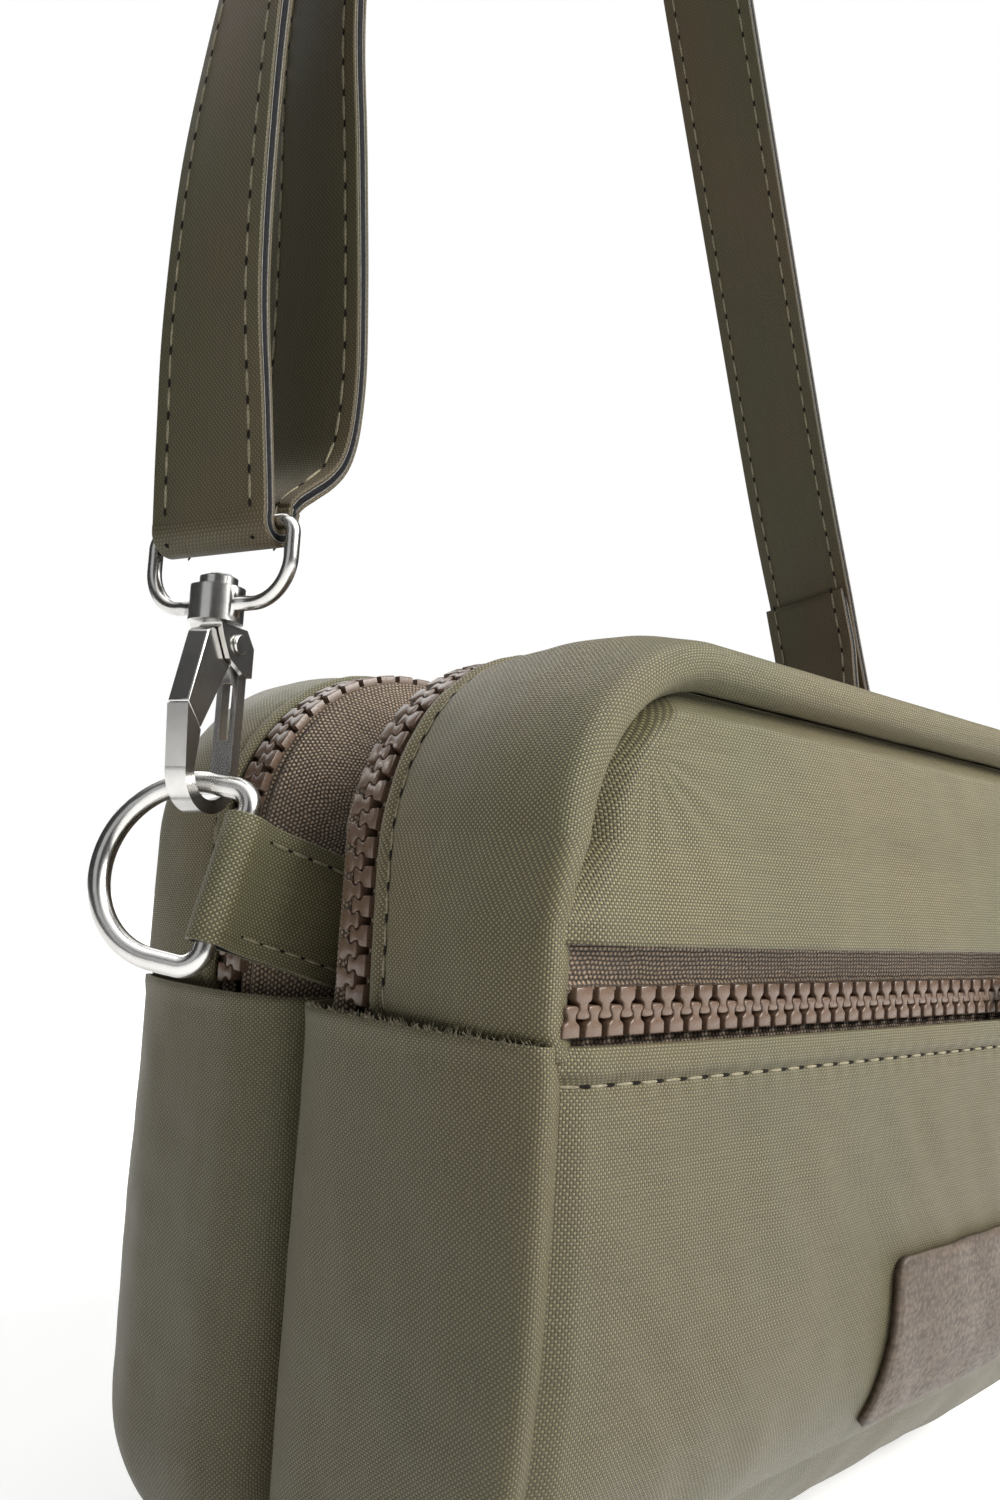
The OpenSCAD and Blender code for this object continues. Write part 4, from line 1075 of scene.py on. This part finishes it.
def touchPoint(swing):
    tilt, turn = math.radians(ringSet["tilt"]), math.radians(swing)
    t = math.atan(1 / (math.tan(tilt) * math.cos(turn)))
    s = ringSet["leg"] + ringSet["radius"] * math.cos(t)
    h = ringSet["radius"] * math.sin(t)
    return Vector((
        ringSet["barX"] - s * math.cos(turn) * math.cos(tilt) + h * math.sin(tilt),
        valleyY + s * math.sin(turn),
        ringSet["barZ"] + s * math.cos(turn) * math.sin(tilt) + h * math.cos(tilt),
    ))


def leaned(v):
    a, b = math.radians(-eyeSet["leanBack"]), math.radians(-eyeSet["leanSide"])
    return Matrix.Rotation(b, 3, "Y") @ (Matrix.Rotation(a, 3, "X") @ Vector(v))


eyeLeft = touchPoint(ringSet["swing"][0]) + Vector((0, 0, eyeSet["bar"]))
rightTouch = touchPoint(ringSet["swing"][1])
eyeRight = Vector((-rightTouch.x, rightTouch.y, rightTouch.z)) + leaned((0, 0, eyeSet["bar"]))
wrap = eyeSet["wire"] / 2 + 0.2 + strapSet["thick"] / 2
routeLift = eyeLeft.z - 133.48  # the route is drawn for an eye bar at this height
slide = Vector((-76.5, 17.0, 300.0 + routeLift))
slideTurn = 1.2 + 0.15 + strapSet["thick"] / 2


def strapRoute():
    yaw = math.radians(15)

    def beside(out, up):
        return (eyeLeft.x + (wrap + out) * math.cos(yaw), eyeLeft.y + (wrap + out) * math.sin(yaw), eyeLeft.z + up, 15)

    def tail(out, up):
        return (*(eyeRight + leaned((out, 0, up))), 0)

    def lifted(points):
        return [(x, y, z + routeLift, turn) for x, y, z, turn in points]

    halfTurn = [math.radians(-22.5 * k) for k in range(9)]
    route = [(slide.x - slideTurn, slide.y, slide.z - 14, -6), (slide.x - slideTurn, slide.y, slide.z - 5, -6)]
    route += [
        (slide.x + slideTurn * math.cos(math.pi + a), slide.y, slide.z + slideTurn * math.sin(math.pi + a), -6)
        for a in halfTurn
    ]
    inner = [
        (slide.x + slideTurn, 17, 304, -6), (slide.x + slideTurn, 17, 299, -6), (-75.0, 16.6, 282, -7),
        (-79.5, 15.6, 248, -7), (-81.2, 14.5, 217, -3), (-80.2, 13.6, 194, 1), (-79.0, 13.2, 172, 5),
        (-78.9, 13.1, 156, 9), (-81.0, 13.4, 145, 12),
    ]
    route += splineSpans(lifted(inner) + [beside(1.6, 4), beside(0, 0), beside(-0.4, -2)], 4)
    route += [beside(wrap * math.cos(a) - wrap, wrap * math.sin(a)) for a in halfTurn]
    outer = [
        (-95.4, 13.1, 149, 12), (-96.8, 13.1, 167, 7), (-96.6, 13.4, 191, 3), (-94.5, 14, 216, -3),
        (-90.3, 15, 245, -7), (-84.6, 16.4, 276, -7), (-82.2, 17, 291, -6), (-82.0, 17, 300, -6), (-82.0, 17, 309, -6),
        (-78.6, 17.8, 325, -4), (-65, 19.4, 357, -2), (-47, 20.4, 379, 0),
        (-28, 21, strapSet["apex"] - routeLift, 0), (-9, 21.4, 377, 0), (6, 21.6, 349, 0), (26, 21.8, 297, 0),
        (49, 21.9, 238, 0), (69, 21.9, 187, 0),
    ]
    start = [beside(-2 * wrap + 0.3, -3), beside(-2 * wrap, 1)]
    route += splineSpans(start + lifted(outer) + [tail(wrap, 22), tail(wrap, 2), tail(wrap, -3)], 4)
    route += [tail(wrap * math.cos(a), wrap * math.sin(a)) for a in halfTurn]
    for up in (3, 8, 14, 21, 28):
        route.append(tail(blendOf(-wrap, wrap - strapSet["thick"] - 0.3, held((up - 2.5) / 11.5)), up))
    return route


def stationsOf(route):
    dense = throughPoints(route, 3)
    stations = []
    last = len(dense) - 1
    for i, p in enumerate(dense):
        here = Vector(p[:3])
        ahead = (Vector(dense[min(i + 1, last)][:3]) - Vector(dense[max(i - 1, 0)][:3])).normalized()
        a = math.radians(p[3])
        leanShare = held((strapSet["apex"] - p[2]) / (strapSet["apex"] - eyeRight.z - 24)) if p[0] > -28 else 0.0
        across = Vector((math.sin(a), -math.cos(a), 0)).lerp(leaned((0, -1, 0)), leanShare)
        across = (across - ahead * across.dot(ahead)).normalized()
        stations.append((here, across, ahead.cross(across).normalized()))
    return stations


def makeStrap():
    stations = stationsOf(strapRoute())
    layeredStrap(stations, strapSet["width"], strapSet["thick"])
    strapStitches(stations, strapSet["thick"] / 2)


# ---- tabs that hold the rings
tabSet = dict(width=18.6, layer=1.32, clear=0.08, reach=22.8, stitchInset=6.9, stitchPitch=3.4)


def makeTab(name, node, right):
    bend = ringSet["wire"] / 2 + tabSet["clear"] + tabSet["layer"] / 2
    flat = tabSet["layer"] / 2 + 0.06
    tilt = math.radians(ringSet["tilt"])
    ahead = Vector((math.cos(tilt), 0, -math.sin(tilt)))
    upright = Vector((math.sin(tilt), 0, math.cos(tilt)))
    origin = Vector((ringSet["barX"], valleyY, ringSet["barZ"]))
    half = [(tabSet["reach"], flat), (16, flat), (9, flat), (5.4, flat + 0.05), (3.4, flat + 0.45), (2.0, bend * 0.82)]
    round_ = [(bend * math.cos(math.radians(a)), bend * math.sin(math.radians(a))) for a in (35, 60, 90, 120, 150, 180)]
    upper = half[:-1] + round_[1:]
    whole = [(x, -y) for x, y in upper] + [(x, y) for x, y in reversed(upper[:-1])]
    dense = throughPoints(whole, 5)
    stations = []
    last = len(dense) - 1
    for i, (x, y) in enumerate(dense):
        a, b = dense[min(i + 1, last)], dense[max(i - 1, 0)]
        run = Vector((a[0] - b[0], a[1] - b[1])).normalized()
        sag = 0.25 * soft(x * 0.5, y, 1.0, 5.0, 2.0)
        place = origin + ahead * x + Vector((0, y, 0)) + upright * sag
        normal = -(ahead * run.y + Vector((0, -run.x, 0)))
        stations.append((place, upright, normal))
    if right:
        flip = Vector((-1, 1, 1))
        stations = [(p * flip, a * flip, n * flip) for p, a, n in stations]
    face = tabSet["layer"]
    for kind, low, high, wide, finishName, corner in (
        ("Cloth", -face * 0.12, face / 2, tabSet["width"], "canvas", 0.3),
        ("Core", -face / 2, -face * 0.12 + 0.01, tabSet["width"] - 0.15, "core", 0.15),
    ):
        ribbonSheet(
            name + kind, stations, low, high, wide, finishName, "bag",
            [node] if kind == "Cloth" else (), corner, 0.12,
        )
    for tag, rows in (("Front", stations[: 4 * 5]), ("Back", stations[-4 * 5:])):
        for side in (-1, 1):
            line = [tuple(p + a * (side * tabSet["stitchInset"]) + n * (face / 2)) for p, a, n in rows]
            outward = [tuple(n) for p, a, n in rows]
            edge = "Low" if side < 0 else "High"
            stitchRow(name + tag + edge, line, outward, tabSet["stitchPitch"], 0.8, 0.2)


# ---- loose fibres on the raw edge of the cross seam
fraySet = dict(count=320, length=(0.5, 1.5), radius=0.045, seed=11)


def makeFray():
    pick = random.Random(fraySet["seed"])
    shape = bmesh.new()
    lift = baseEase(2.2)
    line = throughPoints(frontBaseSection(0.0))
    for i in range(fraySet["count"]):
        y = blendOf(frontY + 1, -2, pick.random())
        sideways = -1 if pick.random() < 0.7 else 1
        n = next((q[1] for q in line if q[0] >= y), 1.0) + lift(0.0, y, -halfWidth, seam)
        root = Vector((sideways * (halfWidth + n - 0.3), y, seam - 0.5))
        way = Vector((sideways * pick.uniform(-0.1, 0.5), pick.uniform(-1, 1), pick.uniform(0.25, 1.0))).normalized()
        length = pick.uniform(*fraySet["length"])
        turn = way.to_track_quat("Z", "Y").to_matrix().to_4x4()
        bmesh.ops.create_cone(
            shape, cap_ends=True, segments=5, radius1=fraySet["radius"], radius2=fraySet["radius"] * 0.5, depth=length,
            matrix=Matrix.Scale(mm, 4) @ Matrix.Translation(root + way * length * 0.4) @ turn,
        )
    keepPiece("frayedEdge", meshOf("frayedEdge", shape), "thread", "bag")


# ---- floor and world
def makeStage():
    ground = bmesh.new()
    bmesh.ops.create_grid(ground, x_segments=1, y_segments=1, size=4.0)
    floor = bpy.data.objects.new("floor", meshOf("floor", ground))
    bpy.context.scene.collection.objects.link(floor)
    paper = Finish("pale_paper", Roughness=0.85, Specular_IOR_Level=0.1)
    grain = paper.noise(300.0, 2.0)
    paper.colour(paper.mix(grain * 0.3, (0.86, 0.86, 0.855), (0.83, 0.83, 0.825)))
    x, y, _ = paper.split(paper.objectPlace())
    far = (x * x + y * y).above(1.6, 1.3)
    seen = paper.seenBy("Camera", "Glossy")
    glow = paper.node("ShaderNodeEmission", None, {"Strength": seen * (far * 0.75 + 0.47)})
    both = paper.node("ShaderNodeAddShader", None, {0: Wire(paper, paper.shader.outputs[0]), 1: glow})
    out = next(n for n in paper.tree.nodes if n.type == "OUTPUT_MATERIAL")
    paper.tree.links.new(both.socket, out.inputs["Surface"])
    floor.data.materials.append(paper.material)


worldSet = dict(
    light=0.15,  # of the rays that light the cloth
    gleam=0.05,  # dark studio that the metal mirrors
    window=(0.30, -0.62, 0.72),
    windowLevel=1.6,
    ceiling=1.1,
)


class Sky(Finish):
    def __init__(self, tree):
        self.tree = tree


def makeWorld():
    world = bpy.data.worlds.new("studio")
    bpy.context.scene.world = world
    world.use_nodes = True
    sky = Sky(world.node_tree)
    sky.tree.nodes.clear()
    x, y, z = sky.split(sky.node("ShaderNodeTexCoord"))
    a, b, c = worldSet["window"]
    window = (x * a + y * b + z * c).above(0.80, 0.10)
    ceiling = z.above(0.72, 0.16)
    mirrored = window * worldSet["windowLevel"] + ceiling * worldSet["ceiling"] + worldSet["gleam"]
    shown = sky.seenBy("Camera", "Transmission")
    glossy = sky.ray("Glossy")
    hidden = glossy * mirrored + (1.0 - glossy) * worldSet["light"]
    glow = sky.node("ShaderNodeBackground", None, {"Color": (1, 1, 1), "Strength": shown + (1.0 - shown) * hidden})
    out = sky.tree.nodes.new("ShaderNodeOutputWorld")
    sky.tree.links.new(glow.socket, out.inputs[0])


bpy.context.scene.view_settings.view_transform = "Standard"
makeCamera()
makeLamps()
makeWorld()
makeStage()
print("camera, lamps and floor ready")
makeStrap()
print("strap made")
makeGussets()
makeHemStitches()
print("gussets made")
makePanels()
print("panels made")
makeTapes()
makePatch()
makeTab("tabLeft", "tab_left", False)
makeTab("tabRight", "tab_right", True)
makeFray()
print("tapes, patch and tabs made")
makeTeeth()
makeHardware()
print("hardware made")
